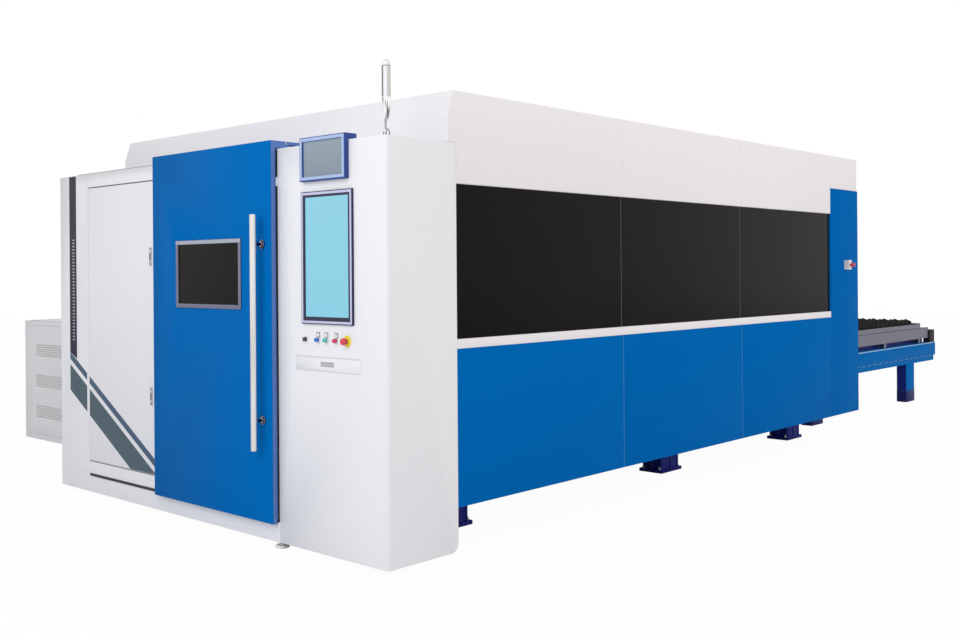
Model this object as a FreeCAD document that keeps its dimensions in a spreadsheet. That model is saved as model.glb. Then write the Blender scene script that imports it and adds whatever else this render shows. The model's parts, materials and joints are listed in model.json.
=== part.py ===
"""Fiber laser cutting machine with a sliding operator door and a shuttle table.

Millimetres, +Z up.  The pieces are laid out from a datum: the corner of the operator end on the near
side, at floor level, with X running back to the shuttle table and Y to the far side.  Each finished
piece is then placed so that the row frame stands in the middle of the whole machine's footprint.
"""
import FreeCAD, Part
import os
import re
import Sketcher

Vector = FreeCAD.Vector

SIZES = [
    # name, millimetres or a count, what it is
    ("skirt_gap", 45, "floor to the lower edge of the operator end"),
    ("end_overhang", 124, "operator end past the far side of the housing"),
    ("house_width", 3330, "long housing between the two ends, across the machine"),
    ("end_depth", 513, "operator end, front to back"),
    ("end_top", 2240, "floor to the top of the operator end and of the rear columns"),
    ("house_wall", 20, "double-skinned wall of the end housings"),
    ("base_angle", 100, "inner foot of the operator end's front wall"),
    ("console_width", 884, "operator console, across"),
    ("edge_round", 22, "rounding of the console's upright edges"),
    ("corner_round", 50, "rounding of the console's lower rear corner"),
    ("sheet", 4, "folded sheet of doors, panels and covers"),
    ("seam", 3, "gap between neighbouring panels"),
    ("run_gap", 0.3, "clearance of pieces that slide or turn"),
    # long sides
    ("panel_count", 3, "panels along one side"),
    ("panel_length", 1550, "pitch of the side panels"),
    ("panel_bottom", 281, "floor to the lower edge of the side panels"),
    ("panel_top", 1133, "floor to the top of the lower panels"),
    ("panel_fold", 25, "depth of a folded panel"),
    ("sill_height", 52, "pale rail between lower panels and windows"),
    ("window_top", 2021, "floor to the top of the windows"),
    ("glass", 10, "laser safety glass"),
    ("post_width", 80, "side frame posts, along the machine"),
    ("post_depth", 60, "side frame posts, across"),
    ("outrigger_bottom", 300, "floor to the underside of the outriggers"),
    ("outrigger_height", 60, "height of an outrigger tube"),
    # roof hood
    ("hood_front", 445, "datum to the hood's front"),
    ("hood_end", 5368, "datum to the hood's rear end"),
    ("hood_break", 2378, "floor to the fold in the hood's front"),
    ("hood_lean", 45, "how far the front leans back above the fold"),
    ("hood_top", 2521, "floor to the hood's top"),
    ("hood_wall", 25, "hood wall"),
    # rear end
    ("column_length", 563, "rear columns, along the machine"),
    ("column_depth", 380, "rear columns, across"),
    ("portal_sheet", 26, "rear portal plate"),
    ("slot_inset", 700, "side of the machine to the pallet slot"),
    ("slot_top", 1130, "floor to the top of the pallet slot"),
    # bed
    ("bed_start", 560, "datum to the bed's front end"),
    ("bed_end", 5700, "datum to the bed's rear end"),
    ("beam_inset", 430, "side of the machine to the bed's side beam"),
    ("beam_width", 230, "side beam width"),
    ("beam_bottom", 300, "floor to the underside of the side beams"),
    ("beam_top", 960, "floor to the rail seat"),
    ("bed_plate", 12, "plate of the welded beams"),
    ("cross_bottom", 160, "floor to the underside of the cross tubes"),
    ("foot_first", 1023, "datum to the middle of the first feet"),
    ("foot_second", 3420, "datum to the middle of the second feet"),
    ("foot_third", 5493, "datum to the middle of the third feet"),
    ("foot_side", 605, "side of the machine to the middle of a foot"),
    ("foot_length", 284, "foot base plate, along the machine"),
    ("foot_width", 204, "foot base plate, across"),
    ("column_along", 216, "foot column, along the machine"),
    ("column_across", 170, "foot column, across"),
    ("anchor_along", 250, "anchor hole spacing, along the machine"),
    ("anchor_across", 140, "anchor hole spacing, across"),
    ("anchor_radius", 8, "anchor hole radius"),
    ("cross_width", 200, "cross tubes, along the machine"),
    ("foot_plate", 25, "foot base plate thickness"),
    ("stud_radius", 8, "levelling stud radius"),
    ("pad_radius", 40, "levelling pad radius"),
    ("pad_height", 14, "levelling pad height"),
    # gantry
    ("rail_width", 34, "guide rail width"),
    ("rail_height", 30, "guide rail height"),
    ("rail_groove", 6, "guide rail side groove"),
    ("rail_margin", 40, "guide rail short of the bed's ends"),
    ("rack_size", 30, "gear rack, square"),
    ("rack_drop", 60, "rail seat to the rack's underside"),
    ("gantry_start", 1500, "datum to the gantry at rest"),
    ("saddle_length", 420, "gantry end saddles, along the machine"),
    ("saddle_height", 140, "gantry end saddles"),
    ("bridge_inset", 40, "saddle front to the bridge beam"),
    ("bridge_width", 260, "bridge beam, along the machine"),
    ("bridge_height", 330, "bridge beam height"),
    ("bridge_plate", 14, "bridge beam plate"),
    ("cross_rail", 20, "cross rails on the bridge"),
    ("cross_rail_edge", 40, "cross rails in from the bridge's edges"),
    ("motor_size", 110, "drive motors, square"),
    ("motor_height", 230, "drive motors, height"),
    ("carriage_width", 300, "cross carriage"),
    ("carriage_plate", 38, "cross carriage plate"),
    ("carriage_side", 900, "side of the machine to the carriage at rest"),
    ("slide_width", 170, "vertical slide"),
    ("slide_plate", 25, "vertical slide plate"),
    ("slide_bottom", 1180, "floor to the vertical slide"),
    ("slide_top", 1720, "top of the vertical slide"),
    ("head_radius", 45, "cutting head body"),
    ("nozzle_radius", 7, "nozzle tip"),
    ("nozzle_floor", 1080, "floor to the nozzle at rest"),
    ("nozzle_height", 35, "nozzle cone"),
    ("head_height", 470, "nozzle tip to the top of the head"),
    # shuttle table
    ("table_end", 9730, "datum to the end of the table beams"),
    ("table_inset", 733, "side of the machine to the table beam"),
    ("table_beam", 114, "table beam width"),
    ("table_top", 652, "floor to the rolling surface"),
    ("table_height", 155, "table beam height"),
    ("flange_height", 62, "lower flange under the table beam"),
    ("flange_short", 47, "lower flange short of the beam's end"),
    ("table_plate", 10, "table beam plate"),
    ("ledge", 30, "thickness of the bed's rolling ledges"),
    ("leg_first", 6342, "datum to the first table legs"),
    ("leg_last", 932, "table end to the front of the last legs"),
    ("leg_size", 245, "table legs, along the machine"),
    ("leg_across", 110, "table legs, across"),
    ("stay_height", 100, "cross stays between the legs"),
    ("kerb_width", 12, "kerb strip along the beam's inner edge"),
    ("kerb_height", 46, "kerb strip height"),
    ("stop_length", 150, "end stop, along the machine"),
    ("stop_width", 77, "end stop, across"),
    ("stop_height", 148, "end stop height"),
    ("stop_inset", 5, "table end to the end stop"),
    # pallet
    ("pallet_start", 5960, "datum to the pallet at rest"),
    ("pallet_length", 3608, "pallet side members"),
    ("pallet_inset", 758, "side of the machine to the pallet"),
    ("member_width", 60, "pallet side member width"),
    ("member_bottom", 708, "floor to the side members"),
    ("member_height", 125, "side member height"),
    ("member_plate", 8, "side member plate"),
    ("strip_width", 50, "slat seat angle width"),
    ("strip_height", 45, "slat seat angle height"),
    ("strip_short", 236, "slat seat short of the member's end"),
    ("slat_first", 80, "pallet end to the first slat"),
    ("slat_count", 27, "slats"),
    ("slat_pitch", 121, "slat spacing"),
    ("slat_thick", 5, "slat thickness"),
    ("slat_bottom", 800, "floor to the slats' lower edge"),
    ("slat_valley", 918, "floor to the tooth roots"),
    ("slat_tip", 945, "floor to the tooth tips"),
    ("tooth_count", 13, "teeth along a slat"),
    ("bearer_count", 3, "bearers under the slats"),
    ("bearer_height", 60, "bearer height"),
    ("wheel_count", 4, "wheel pairs"),
    ("wheel_first", 217, "pallet end to the first wheels"),
    ("wheel_pitch", 1034, "wheel spacing"),
    ("wheel_radius", 28, "pallet wheel"),
    # sliding door
    ("door_side", 893, "datum to the door's edge"),
    ("door_width", 1229, "sliding door"),
    ("door_bottom", 153, "floor to the door"),
    ("door_top", 2285, "floor to the door's top"),
    ("door_gap", 8, "door to the end wall"),
    ("door_thick", 34, "door thickness"),
    ("door_reach", 200, "door's top channel, back over the housing"),
    ("door_clear", 4, "door's top channel above the housing"),
    ("track_back", 90, "datum to the track on the housing's roof"),
    ("track_width", 40, "track width"),
    ("track_height", 22, "track height"),
    ("track_side", 900, "datum to the track's end"),
    ("track_length", 2450, "track length"),
    ("hanger_length", 160, "hanger carriage length"),
    ("hanger_inset", 160, "door edge to the hanger carriage"),
    ("doorway_side", 950, "datum to the doorway"),
    ("doorway_width", 1110, "doorway width"),
    ("doorway_bottom", 200, "floor to the doorway's sill"),
    ("doorway_top", 2120, "floor to the doorway's head"),
    ("guide_bottom", 158, "floor to the lower guide"),
    ("guide_height", 16, "lower guide height"),
    ("guide_depth", 6, "lower guide depth"),
    ("view_side", 1174, "datum to the door window"),
    ("view_width", 676, "door window frame width"),
    ("view_bottom", 1340, "floor to the door window frame"),
    ("view_height", 408, "door window frame height"),
    ("view_frame", 25, "door window frame width of the profile"),
    ("view_proud", 7, "door window frame proud of the door"),
    ("handle_side", 975, "datum to the handle"),
    ("handle_bottom", 560, "floor to the handle"),
    ("handle_length", 1314, "handle length"),
    ("handle_radius", 19, "handle bar radius"),
    ("handle_stand", 62, "door face to the bar's axis"),
    ("stay_radius", 9, "handle standoff radius"),
    ("rose_radius", 24, "handle rosette radius"),
    ("rose_height", 8, "handle rosette height"),
    ("stay_inset", 165, "handle end to a standoff"),
    # service bay
    ("service_side", 2180, "datum to the service opening"),
    ("service_width", 856, "service opening width"),
    ("service_bottom", 260, "floor to the service opening"),
    ("service_top", 2144, "floor to the service opening's head"),
    ("bay_depth", 440, "service bay depth"),
    ("door_bend", 5, "bend radius of the service door's folded edges"),
    ("hinge_radius", 3.5, "hinge pins of the service door"),
    ("hinge_inset", 8, "service door's edge and face to the hinge pins"),
    ("hinge_length", 10, "hinge pin inside the service door"),
    ("latch_inset", 40, "door edge to the latch"),
    ("latch_length", 121, "latch length"),
    ("latch_width", 24, "latch width"),
    ("latch_proud", 6, "latch proud of the door"),
    ("latch_lower", 702, "floor to the lower latch"),
    ("latch_upper", 1599, "floor to the upper latch"),
    ("device_rows", 5, "rows of devices on the electrics panel"),
    ("device_depth", 120, "depth of the devices"),
    # console
    ("sign_side", 280, "datum to the sign box"),
    ("sign_width", 375, "sign box width"),
    ("sign_bottom", 2037, "floor to the sign box"),
    ("sign_top", 2273, "floor to the sign box's top"),
    ("sign_depth", 28, "sign box depth"),
    ("sign_lap", 55, "sign box flange over the console's top"),
    ("sign_frame", 24, "sign box frame"),
    ("monitor_side", 245, "datum to the monitor"),
    ("monitor_width", 422, "monitor width"),
    ("monitor_bottom", 1273, "floor to the monitor"),
    ("monitor_height", 710, "monitor height"),
    ("monitor_proud", 12, "monitor bezel proud of the console"),
    ("monitor_depth", 60, "monitor body behind the console's face"),
    ("monitor_frame", 30, "monitor bezel width"),
    ("monitor_lip", 16, "bezel that laps the console"),
    ("button_floor", 1189, "floor to the button axes"),
    ("key_side", 640, "datum to the key switch"),
    ("blue_side", 538, "datum to the blue button"),
    ("green_side", 469, "datum to the green button"),
    ("red_side", 389, "datum to the red button"),
    ("stop_side", 302, "datum to the emergency stop"),
    ("bezel_radius", 16, "button bezel"),
    ("bezel_height", 8, "button bezel height"),
    ("button_radius", 11, "push button"),
    ("button_reach", 22, "console face to a button's top"),
    ("button_travel", 4, "push button travel"),
    ("legend_width", 24, "legend plate width"),
    ("legend_height", 57, "legend plate height"),
    ("legend_thick", 2, "legend plate thickness"),
    ("legend_drop", 17, "button axis down to the legend plate's lower edge"),
    ("plate_radius", 30, "emergency stop plate"),
    ("mushroom_radius", 19, "emergency stop head"),
    ("mushroom_reach", 40, "mounting face to the top of an emergency stop"),
    ("mushroom_height", 20, "emergency stop head height"),
    ("drawer_side", 204, "datum to the keyboard drawer"),
    ("drawer_width", 529, "keyboard drawer width"),
    ("drawer_bottom", 1024, "floor to the keyboard drawer"),
    ("drawer_height", 70, "keyboard drawer height"),
    ("drawer_depth", 380, "keyboard drawer depth"),
    ("drawer_front", 14, "drawer front thickness"),
    ("pull_width", 107, "drawer pull recess width"),
    ("pull_height", 24, "drawer pull recess height"),
    ("pull_depth", 9, "drawer pull recess depth"),
    ("keyboard_width", 440, "keyboard width"),
    ("keyboard_depth", 140, "keyboard depth"),
    ("keyboard_height", 16, "keyboard height"),
    ("key_rows", 5, "rows of keys"),
    # stack light
    ("lamp_back", 60, "datum to the stack light's axis"),
    ("lamp_side", 56, "side of the machine to the stack light's axis"),
    ("lamp_base_radius", 25, "stack light foot"),
    ("lamp_neck_radius", 9, "stack light neck"),
    ("lamp_lens_radius", 23, "stack light lens"),
    ("lamp_lens_floor", 2452, "floor to the lens"),
    ("lamp_top", 2626, "floor to the cap's top"),
    # column emergency stop
    ("column_stop_back", 5431, "datum to the column stop box"),
    ("column_stop_width", 56, "column stop box width"),
    ("column_stop_floor", 1541, "floor to the column stop box"),
    ("column_stop_height", 84, "column stop box height"),
    ("column_stop_depth", 45, "column stop box depth"),
    ("stop_stem", 15, "emergency stop stem inside the column stop box"),
    # chiller and its duct
    ("chiller_back", 981, "datum to the chiller's front"),
    ("chiller_depth", 800, "chiller, along the machine"),
    ("chiller_side", 4960, "datum to the chiller's near side"),
    ("chiller_width", 1200, "chiller, across"),
    ("chiller_height", 1110, "chiller height"),
    ("chiller_plinth", 45, "chiller plinth height"),
    ("chiller_lid", 45, "chiller lid height"),
    ("chiller_seam", 5, "shadow gap of plinth and lid"),
    ("vent_inset", 220, "chiller edge to the vents"),
    ("vent_first", 209, "floor to the lowest vent band"),
    ("vent_pitch", 287, "spacing of the vent bands"),
    ("vent_bands", 3, "vent bands"),
    ("vent_slots", 6, "slots in a band"),
    ("vent_slot", 10, "slot height"),
    ("vent_step", 20, "slot spacing"),
    ("vent_depth", 15, "slot depth"),
    ("duct_width", 250, "floor duct width"),
    ("duct_height", 90, "floor duct height"),
    ("duct_back", 1250, "datum to the floor duct"),
]

doc = FreeCAD.newDocument("laser_cutter")
sheet = doc.addObject("Spreadsheet::Sheet", "Sizes")
for row, (alias, value, note) in enumerate(SIZES, start=1):
    sheet.set(f"A{row}", note)
    sheet.set(f"B{row}", str(value))
    sheet.setAlias(f"B{row}", alias)
doc.recompute()

ALIASES = {alias for alias, value, note in SIZES}
NODES = []

# places that several pieces share, in the sheet's own names
SIDE_END = "(end_depth + panel_count * panel_length)"
REAR_FACE = f"({SIDE_END} + column_length)"
DOOR_FACE = "(0 - door_gap - door_thick)"
BRIDGE_BACK = "(gantry_start + bridge_inset + bridge_width)"
SADDLE_FLOOR = "(beam_top + rail_height + 20)"
BRIDGE_FLOOR = f"({SADDLE_FLOOR} + saddle_height)"
CARRIAGE_FACE = f"({BRIDGE_BACK} + cross_rail + run_gap + carriage_plate)"
HEAD_AXIS = f"({CARRIAGE_FACE} + run_gap + slide_plate + head_radius - 5)"
RAIL_AXIS = "(beam_inset + beam_width / 2)"
BUTTON_BORE = "(button_radius + run_gap)"
END_WIDTH = "(house_width + end_overhang)"
LEG_PLACES = ("leg_first", "(table_end - leg_last)")
HINGE_SIDE = "(service_side + service_width - seam - hinge_inset)"

# the row frame's origin, seen from the datum: the middle of the whole footprint
ORIGIN_X = f"((table_end - (0 - {DOOR_FACE} + handle_stand + handle_radius)) / 2)"
ORIGIN_Y = "((chiller_side + chiller_width - column_stop_depth - mushroom_reach) / 2)"


def cells(words):
    """Point each size name in an expression at its cell."""
    def point(found):
        word = found.group()
        return "Sizes." + word if word in ALIASES else word
    return re.sub(r"[a-z][a-z_]*", point, str(words))


def size(alias):
    """A size's number, read from the sheet."""
    return float(sheet.get(alias))


def bind(piece, field, words):
    piece.setExpression(field, cells(words))


def place(piece, at):
    for axis, words in zip("xyz", at):
        bind(piece, "Placement.Base." + axis, words)
    return piece


def box(name, at, span):
    """A block from its lowest corner and its three lengths."""
    piece = doc.addObject("Part::Box", name)
    for field, words in zip(("Length", "Width", "Height"), span):
        bind(piece, field, words)
    return place(piece, at)


TURN = {
    "x": FreeCAD.Rotation(Vector(0, 1, 0), 90),
    "y": FreeCAD.Rotation(Vector(1, 0, 0), -90),
    "z": FreeCAD.Rotation(),
}


def rod(name, at, axis, radius, length):
    """A round bar that starts at a point and runs along +X, +Y or +Z."""
    piece = doc.addObject("Part::Cylinder", name)
    bind(piece, "Radius", radius)
    bind(piece, "Height", length)
    piece.Placement = FreeCAD.Placement(Vector(), TURN[axis])
    return place(piece, at)


def fuse(name, pieces):
    piece = doc.addObject("Part::MultiFuse", name)
    piece.Shapes = pieces
    piece.Refine = True
    return piece


def group(name, pieces):
    """Like pieces that stay separate solids and share one node."""
    piece = doc.addObject("Part::Compound", name)
    piece.Links = pieces
    return piece


def cut(name, base, tools):
    piece = doc.addObject("Part::Cut", name)
    piece.Base = base
    piece.Tool = tools[0] if len(tools) == 1 else fuse(name + "_tools", tools)
    piece.Refine = True
    return piece


def tube(name, at, span, wall, along):
    """A rectangular tube, open at both ends, with its bore along one axis."""
    outer = box(name + "_outer", at, span)
    inner_at = [f"{at[i]} - 1" if "xyz"[i] == along else f"{at[i]} + {wall}" for i in range(3)]
    inner_span = [f"{span[i]} + 2" if "xyz"[i] == along else f"{span[i]} - 2 * {wall}" for i in range(3)]
    return cut(name, outer, [box(name + "_bore", inner_at, inner_span)])


def far(y, width):
    """The far side's copy of a place across the machine."""
    return f"(house_width - ({y}) - ({width}))"


def across(side, y, width):
    """A place across the machine on the near side, or its copy on the far side."""
    return y if side == "near" else far(y, width)


def rounded(name, base, radius, picks):
    """Round the straight edges whose middle and direction a pick accepts."""
    doc.recompute()
    piece = doc.addObject("Part::Fillet", name)
    piece.Base = base
    value = size(radius)
    edges = [number for number, edge in enumerate(base.Shape.Edges, start=1)
             if picks(edge.BoundBox.Center, edge.BoundBox)]
    piece.Edges = [(number, value, value) for number in edges]
    return piece


def profile(body, name, plane, points):
    """A closed outline in one of the body's origin planes, each corner tied to the sheet."""
    sketch = body.newObject("Sketcher::SketchObject", name)
    origin = [feature for feature in body.Origin.OriginFeatures if feature.Role == plane][0]
    sketch.AttachmentSupport = [(origin, "")]
    sketch.MapMode = "FlatFace"
    corners = [Vector(value_of(across), value_of(up), 0) for across, up in points]
    for i, corner in enumerate(corners):
        sketch.addGeometry(Part.LineSegment(corner, corners[(i + 1) % len(corners)]), False)
    for i in range(len(corners)):
        sketch.addConstraint(Sketcher.Constraint("Coincident", i, 2, (i + 1) % len(corners), 1))
    for i, (across, up) in enumerate(points):
        for kind, words, number in (("DistanceX", across, corners[i].x), ("DistanceY", up, corners[i].y)):
            index = sketch.addConstraint(Sketcher.Constraint(kind, -1, 1, i, 1, number))
            sketch.setExpression(f"Constraints[{index}]", cells(words))
    return sketch


def value_of(words):
    """The number that an expression in the sheet's names comes to."""
    names = {alias: size(alias) for alias in ALIASES if alias in words}
    def number(found):
        word = found.group()
        return repr(names[word]) if word in names else word
    return float(FreeCAD.Units.Quantity(re.sub(r"[a-z][a-z_]*", number, str(words))).Value)


def new_body(name):
    return doc.addObject("PartDesign::Body", name)


def pad(body, name, sketch, length, backwards=False):
    feature = body.newObject("PartDesign::Pad", name)
    feature.Profile = sketch
    bind(feature, "Length", length)
    feature.Reversed = backwards
    return feature


def turned(name, points, at):
    """A turned piece: an outline of radius and height, spun about its upright axis."""
    body = new_body(name)
    sketch = profile(body, name + "_outline", "XZ_Plane", points)
    spin = body.newObject("PartDesign::Revolution", name + "_spin")
    spin.Profile = sketch
    spin.ReferenceAxis = (sketch, ["V_Axis"])
    spin.Angle = 360
    return place(body, at)


def node(piece, label):
    """Name a finished piece and move it from the datum to the row frame."""
    piece.Label = label
    bound = {path.lstrip("."): words for path, words in piece.ExpressionEngine}
    for axis, shift in zip("xy", (ORIGIN_X, ORIGIN_Y)):
        field = "Placement.Base." + axis
        piece.setExpression(field, f"({bound.get(field, '0')}) - {cells(shift)}")
    NODES.append(piece)


# ---------------------------------------------------------------- bed

def make_bed():
    """Welded bed: two box beams, cross tubes and the ledges that the pallet rolls on."""
    length = "bed_end - bed_start"
    parts = []
    for side, y in (("near", "beam_inset"), ("far", far("beam_inset", "beam_width"))):
        parts.append(tube(f"bed_beam_{side}", ("bed_start", y, "beam_bottom"),
                          (length, "beam_width", "beam_top - beam_bottom"), "bed_plate", "x"))
    ledge_y = "(beam_inset + beam_width)"
    ledge_width = "(table_inset + table_beam - beam_inset - beam_width)"
    for side, y in (("near", ledge_y), ("far", far(ledge_y, ledge_width))):
        parts.append(box(f"bed_ledge_{side}", ("bed_start", y, "table_top - ledge"),
                         (length, ledge_width, "ledge")))
    rows = ("foot_first", "(foot_first + foot_second) / 2", "foot_second",
            "(foot_second + foot_third) / 2", "foot_third")
    for i, x in enumerate(rows):
        parts.append(tube(f"bed_cross_{i}", (f"{x} - cross_width / 2", "beam_inset", "cross_bottom"),
                          ("cross_width", "house_width - 2 * beam_inset", "beam_bottom - cross_bottom"),
                          "bed_plate", "y"))
    node(fuse("bed", parts), "bed_frame")


def make_foot(name, x, y):
    """A bed foot: drilled base plate and a box column."""
    plate = box(name + "_plate", (f"{x} - foot_length / 2", f"{y} - foot_width / 2", "0"),
                ("foot_length", "foot_width", "foot_plate"))
    column = box(name + "_column", (f"{x} - column_along / 2", f"{y} - column_across / 2", "foot_plate"),
                 ("column_along", "column_across", "cross_bottom - foot_plate"))
    holes = []
    for i, along in enumerate((-1, 1)):
        for j, aside in enumerate((-1, 1)):
            spot = (f"{x} + {along} * anchor_along / 2", f"{y} + {aside} * anchor_across / 2", "-1")
            holes.append(rod(f"{name}_hole_{i}{j}", spot, "z", "anchor_radius", "foot_plate + 2"))
    return cut(name, fuse(name + "_weld", [plate, column]), holes)


def make_feet():
    feet = []
    for i, x in enumerate(("foot_first", "foot_second", "foot_third")):
        for side, y in (("near", "foot_side"), ("far", "(house_width - foot_side)")):
            feet.append(make_foot(f"foot_{side}_{i}", x, y))
    spots = [
        ("5 * pad_radius", "5 * pad_radius"),
        ("end_depth - 2 * pad_radius", "5 * pad_radius"),
        ("end_depth - 2 * pad_radius", "console_width - 2 * pad_radius"),
        ("base_angle - pad_radius", "console_width + 1.5 * pad_radius"),
        ("bay_depth + house_wall / 2", "service_side"),
        ("bay_depth + house_wall / 2", f"{END_WIDTH} - 2 * pad_radius"),
    ]
    for i, (x, y) in enumerate(spots):
        feet.append(fuse(f"leveller_{i}", [
            rod(f"leveller_pad_{i}", (x, y, "0"), "z", "pad_radius", "pad_height"),
            rod(f"leveller_stud_{i}", (x, y, "0"), "z", "stud_radius", "skirt_gap"),
        ]))
    node(group("feet", feet), "machine_feet")


def make_guides():
    rails, racks = [], []
    length = "bed_end - bed_start - 2 * rail_margin"
    start = "bed_start + rail_margin"
    for side, y in (("near", f"({RAIL_AXIS} - rail_width / 2)"),
                    ("far", f"(house_width - {RAIL_AXIS} - rail_width / 2)")):
        bar = box(f"rail_bar_{side}", (start, y, "beam_top"), (length, "rail_width", "rail_height"))
        grooves = [box(f"rail_groove_{side}_{i}", (f"{start} - 1", edge, "beam_top + rail_height / 3"),
                       (f"{length} + 2", "rail_groove", "rail_height / 3"))
                   for i, edge in enumerate((y, f"{y} + rail_width - rail_groove"))]
        rails.append(cut(f"rail_{side}", bar, grooves))
    for side in ("near", "far"):
        rack_y = across(side, "(beam_inset - rack_size)", "rack_size")
        racks.append(box(f"rack_{side}", (start, rack_y, "beam_top - rack_drop"),
                         (length, "rack_size", "rack_size")))
    node(group("rails", rails), "gantry_rails")
    node(group("racks", racks), "gantry_racks")


# ---------------------------------------------------------------- long sides

def make_side_frames():
    """Tube frames behind the panels, hung on outriggers from the bed."""
    frames = []
    for side in ("near", "far"):
        parts = []
        length = "panel_count * panel_length"
        levels = (
            ("foot", "panel_bottom", "post_depth"),
            ("waist", "panel_top - house_wall", "sill_height + 2 * house_wall"),
            ("head", "window_top - house_wall", "post_depth"),
        )
        post_y = across(side, "panel_fold", "post_depth")
        for name, z, height in levels:
            parts.append(box(f"{side}_{name}_tube", ("end_depth", post_y, z), (length, "post_depth", height)))
        for i in range(int(size("panel_count")) + 1):
            x = f"(end_depth + {i} * (panel_length - post_width / panel_count))"
            parts.append(box(f"{side}_post_{i}", (x, post_y, "panel_bottom"),
                             ("post_width", "post_depth", "window_top - panel_bottom")))
            reach = "(beam_inset - panel_fold - post_depth)"
            arm_y = across(side, "(panel_fold + post_depth)", reach)
            parts.append(box(f"{side}_outrigger_{i}", (f"{x} + bed_plate * 5", arm_y, "outrigger_bottom"),
                             ("post_width - bed_plate * 5", reach, "outrigger_height")))
        frames.append(fuse(f"side_frame_{side}", parts))
    node(group("side_frames", frames), "side_frames")


def make_lower_panel(name, x, y, open_y):
    """A folded pan, open towards the side frame."""
    pan = box(name + "_pan", (x, y, "panel_bottom"),
              ("panel_length - seam", "panel_fold", "panel_top - panel_bottom"))
    hollow = box(name + "_hollow", (f"{x} + sheet", open_y, "panel_bottom + sheet"),
                 ("panel_length - seam - 2 * sheet", "panel_fold", "panel_top - panel_bottom - 2 * sheet"))
    return cut(name, pan, [hollow])


def make_window(name, x, y):
    """A pane with its four edges ground."""
    return box(name, (x, y, "panel_top + sill_height"),
               ("panel_length - seam", "glass", "window_top - panel_top - sill_height"))


def make_sides():
    far_panels, far_windows = [], []
    far_face = "(house_width - panel_fold)"
    for i in range(int(size("panel_count"))):
        x = f"(end_depth + {i} * panel_length + seam / 2)"
        node(make_lower_panel(f"panel_near_{i}", x, "0", "sheet"), f"near_lower_panel_{i + 1}")
        node(make_window(f"window_near_{i}", x, "panel_fold - glass"), f"near_window_{i + 1}")
        far_panels.append(make_lower_panel(f"panel_far_{i}", x, far_face, f"{far_face} - sheet"))
        far_windows.append(make_window(f"window_far_{i}", x, far("panel_fold - glass", "glass")))
    node(group("far_panels", far_panels), "far_lower_panels")
    node(group("far_windows", far_windows), "far_windows")
    for side, y in (("near", "0"), ("far", far_face)):
        node(box(f"sill_{side}", ("end_depth", y, "panel_top"),
                 ("panel_count * panel_length", "panel_fold", "sill_height")), f"{side}_sill_rail")


def make_hood():
    """Folded roof hood with skirts that step down to the windows between the two ends."""
    def outline(grow, low):
        return [
            (f"hood_front + {grow}", f"end_top - {low}"),
            (f"hood_front + {grow}", "hood_break"),
            (f"hood_front + hood_lean + {grow}", f"hood_top - {grow}"),
            (f"hood_end - {grow}", f"hood_top - {grow}"),
            (f"hood_end - {grow}", f"end_top - {low}"),
        ]
    body = new_body("hood")
    outer = profile(body, "hood_outline", "XZ_Plane", outline("0", "0") + [
        (SIDE_END, "end_top"),
        (SIDE_END, "window_top"),
        ("end_depth", "window_top"),
        ("end_depth", "end_top"),
    ])
    pad(body, "hood_pad", outer, "house_width", backwards=True)
    inner = new_body("hood_inside")
    room = profile(inner, "hood_room", "XZ_Plane", outline("hood_wall", "hood_wall") + [
        (f"{SIDE_END}", "end_top - hood_wall"),
        (f"{SIDE_END}", "window_top - hood_wall"),
        ("end_depth", "window_top - hood_wall"),
        ("end_depth", "end_top - hood_wall"),
    ])
    pad(inner, "hood_room_pad", room, "house_width - 2 * hood_wall", backwards=True)
    place(inner, ("0", "hood_wall", "0"))
    node(cut("hood_shell", body, [inner]), "roof_hood")


# ---------------------------------------------------------------- operator end

def make_end_housing():
    """Folded housing round the doorway and the service bay, open at the back and below."""
    height = "end_top - skirt_gap"
    width = f"({END_WIDTH} - console_width)"
    outer = box("end_outer", ("0", "console_width", "skirt_gap"), ("end_depth", width, height))
    room = box("end_room", ("house_wall", "console_width - 1", "skirt_gap - 1"),
               ("end_depth", f"{width} - house_wall + 1", f"{height} - house_wall + 1"))
    soft = rounded("end_soft", outer, "edge_round",
                   lambda middle, span: (span.ZLength > 1000 and middle.x < 1
                                         and middle.y > size("house_width")))
    shell = cut("end_shell", soft, [room])
    bay_side = "service_side - 2 * house_wall"
    bay_width = f"{END_WIDTH} + house_wall - service_side"
    tall = f"{height} - house_wall"
    walls = [
        box("bay_partition", ("house_wall", bay_side, "skirt_gap"), ("bay_depth", "house_wall", tall)),
        box("bay_back", ("house_wall + bay_depth - house_wall", bay_side, "skirt_gap"),
            ("house_wall", bay_width, tall)),
        box("bay_floor", ("house_wall", bay_side, "service_bottom - 2 * house_wall"),
            ("bay_depth", bay_width, "house_wall")),
        box("rear_cheek", ("end_depth - house_wall", "house_width - column_depth", "skirt_gap"),
            ("house_wall", "end_overhang + column_depth - house_wall", tall)),
        box("front_foot", ("house_wall", "console_width", "skirt_gap"),
            ("base_angle - house_wall", width, "house_wall / 2")),
    ]
    openings = [
        box("doorway", ("-1", "doorway_side", "doorway_bottom"),
            ("house_wall + 2", "doorway_width", "doorway_top - doorway_bottom")),
        box("service_hole", ("-1", "service_side", "service_bottom"),
            ("house_wall + 2", "service_width", "service_top - service_bottom")),
    ]
    pin = "(hinge_length + seam + sheet)"
    pins = [
        rod("hinge_low", ("hinge_inset", HINGE_SIDE, "service_bottom"), "z", "hinge_radius", pin),
        rod("hinge_high", ("hinge_inset", HINGE_SIDE, f"service_top - {pin}"), "z", "hinge_radius", pin),
    ]
    walled = cut("end_housing_shell", fuse("end_walls", [shell] + walls), openings)
    node(fuse("end_housing_weld", [walled] + pins), "end_housing")


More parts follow.
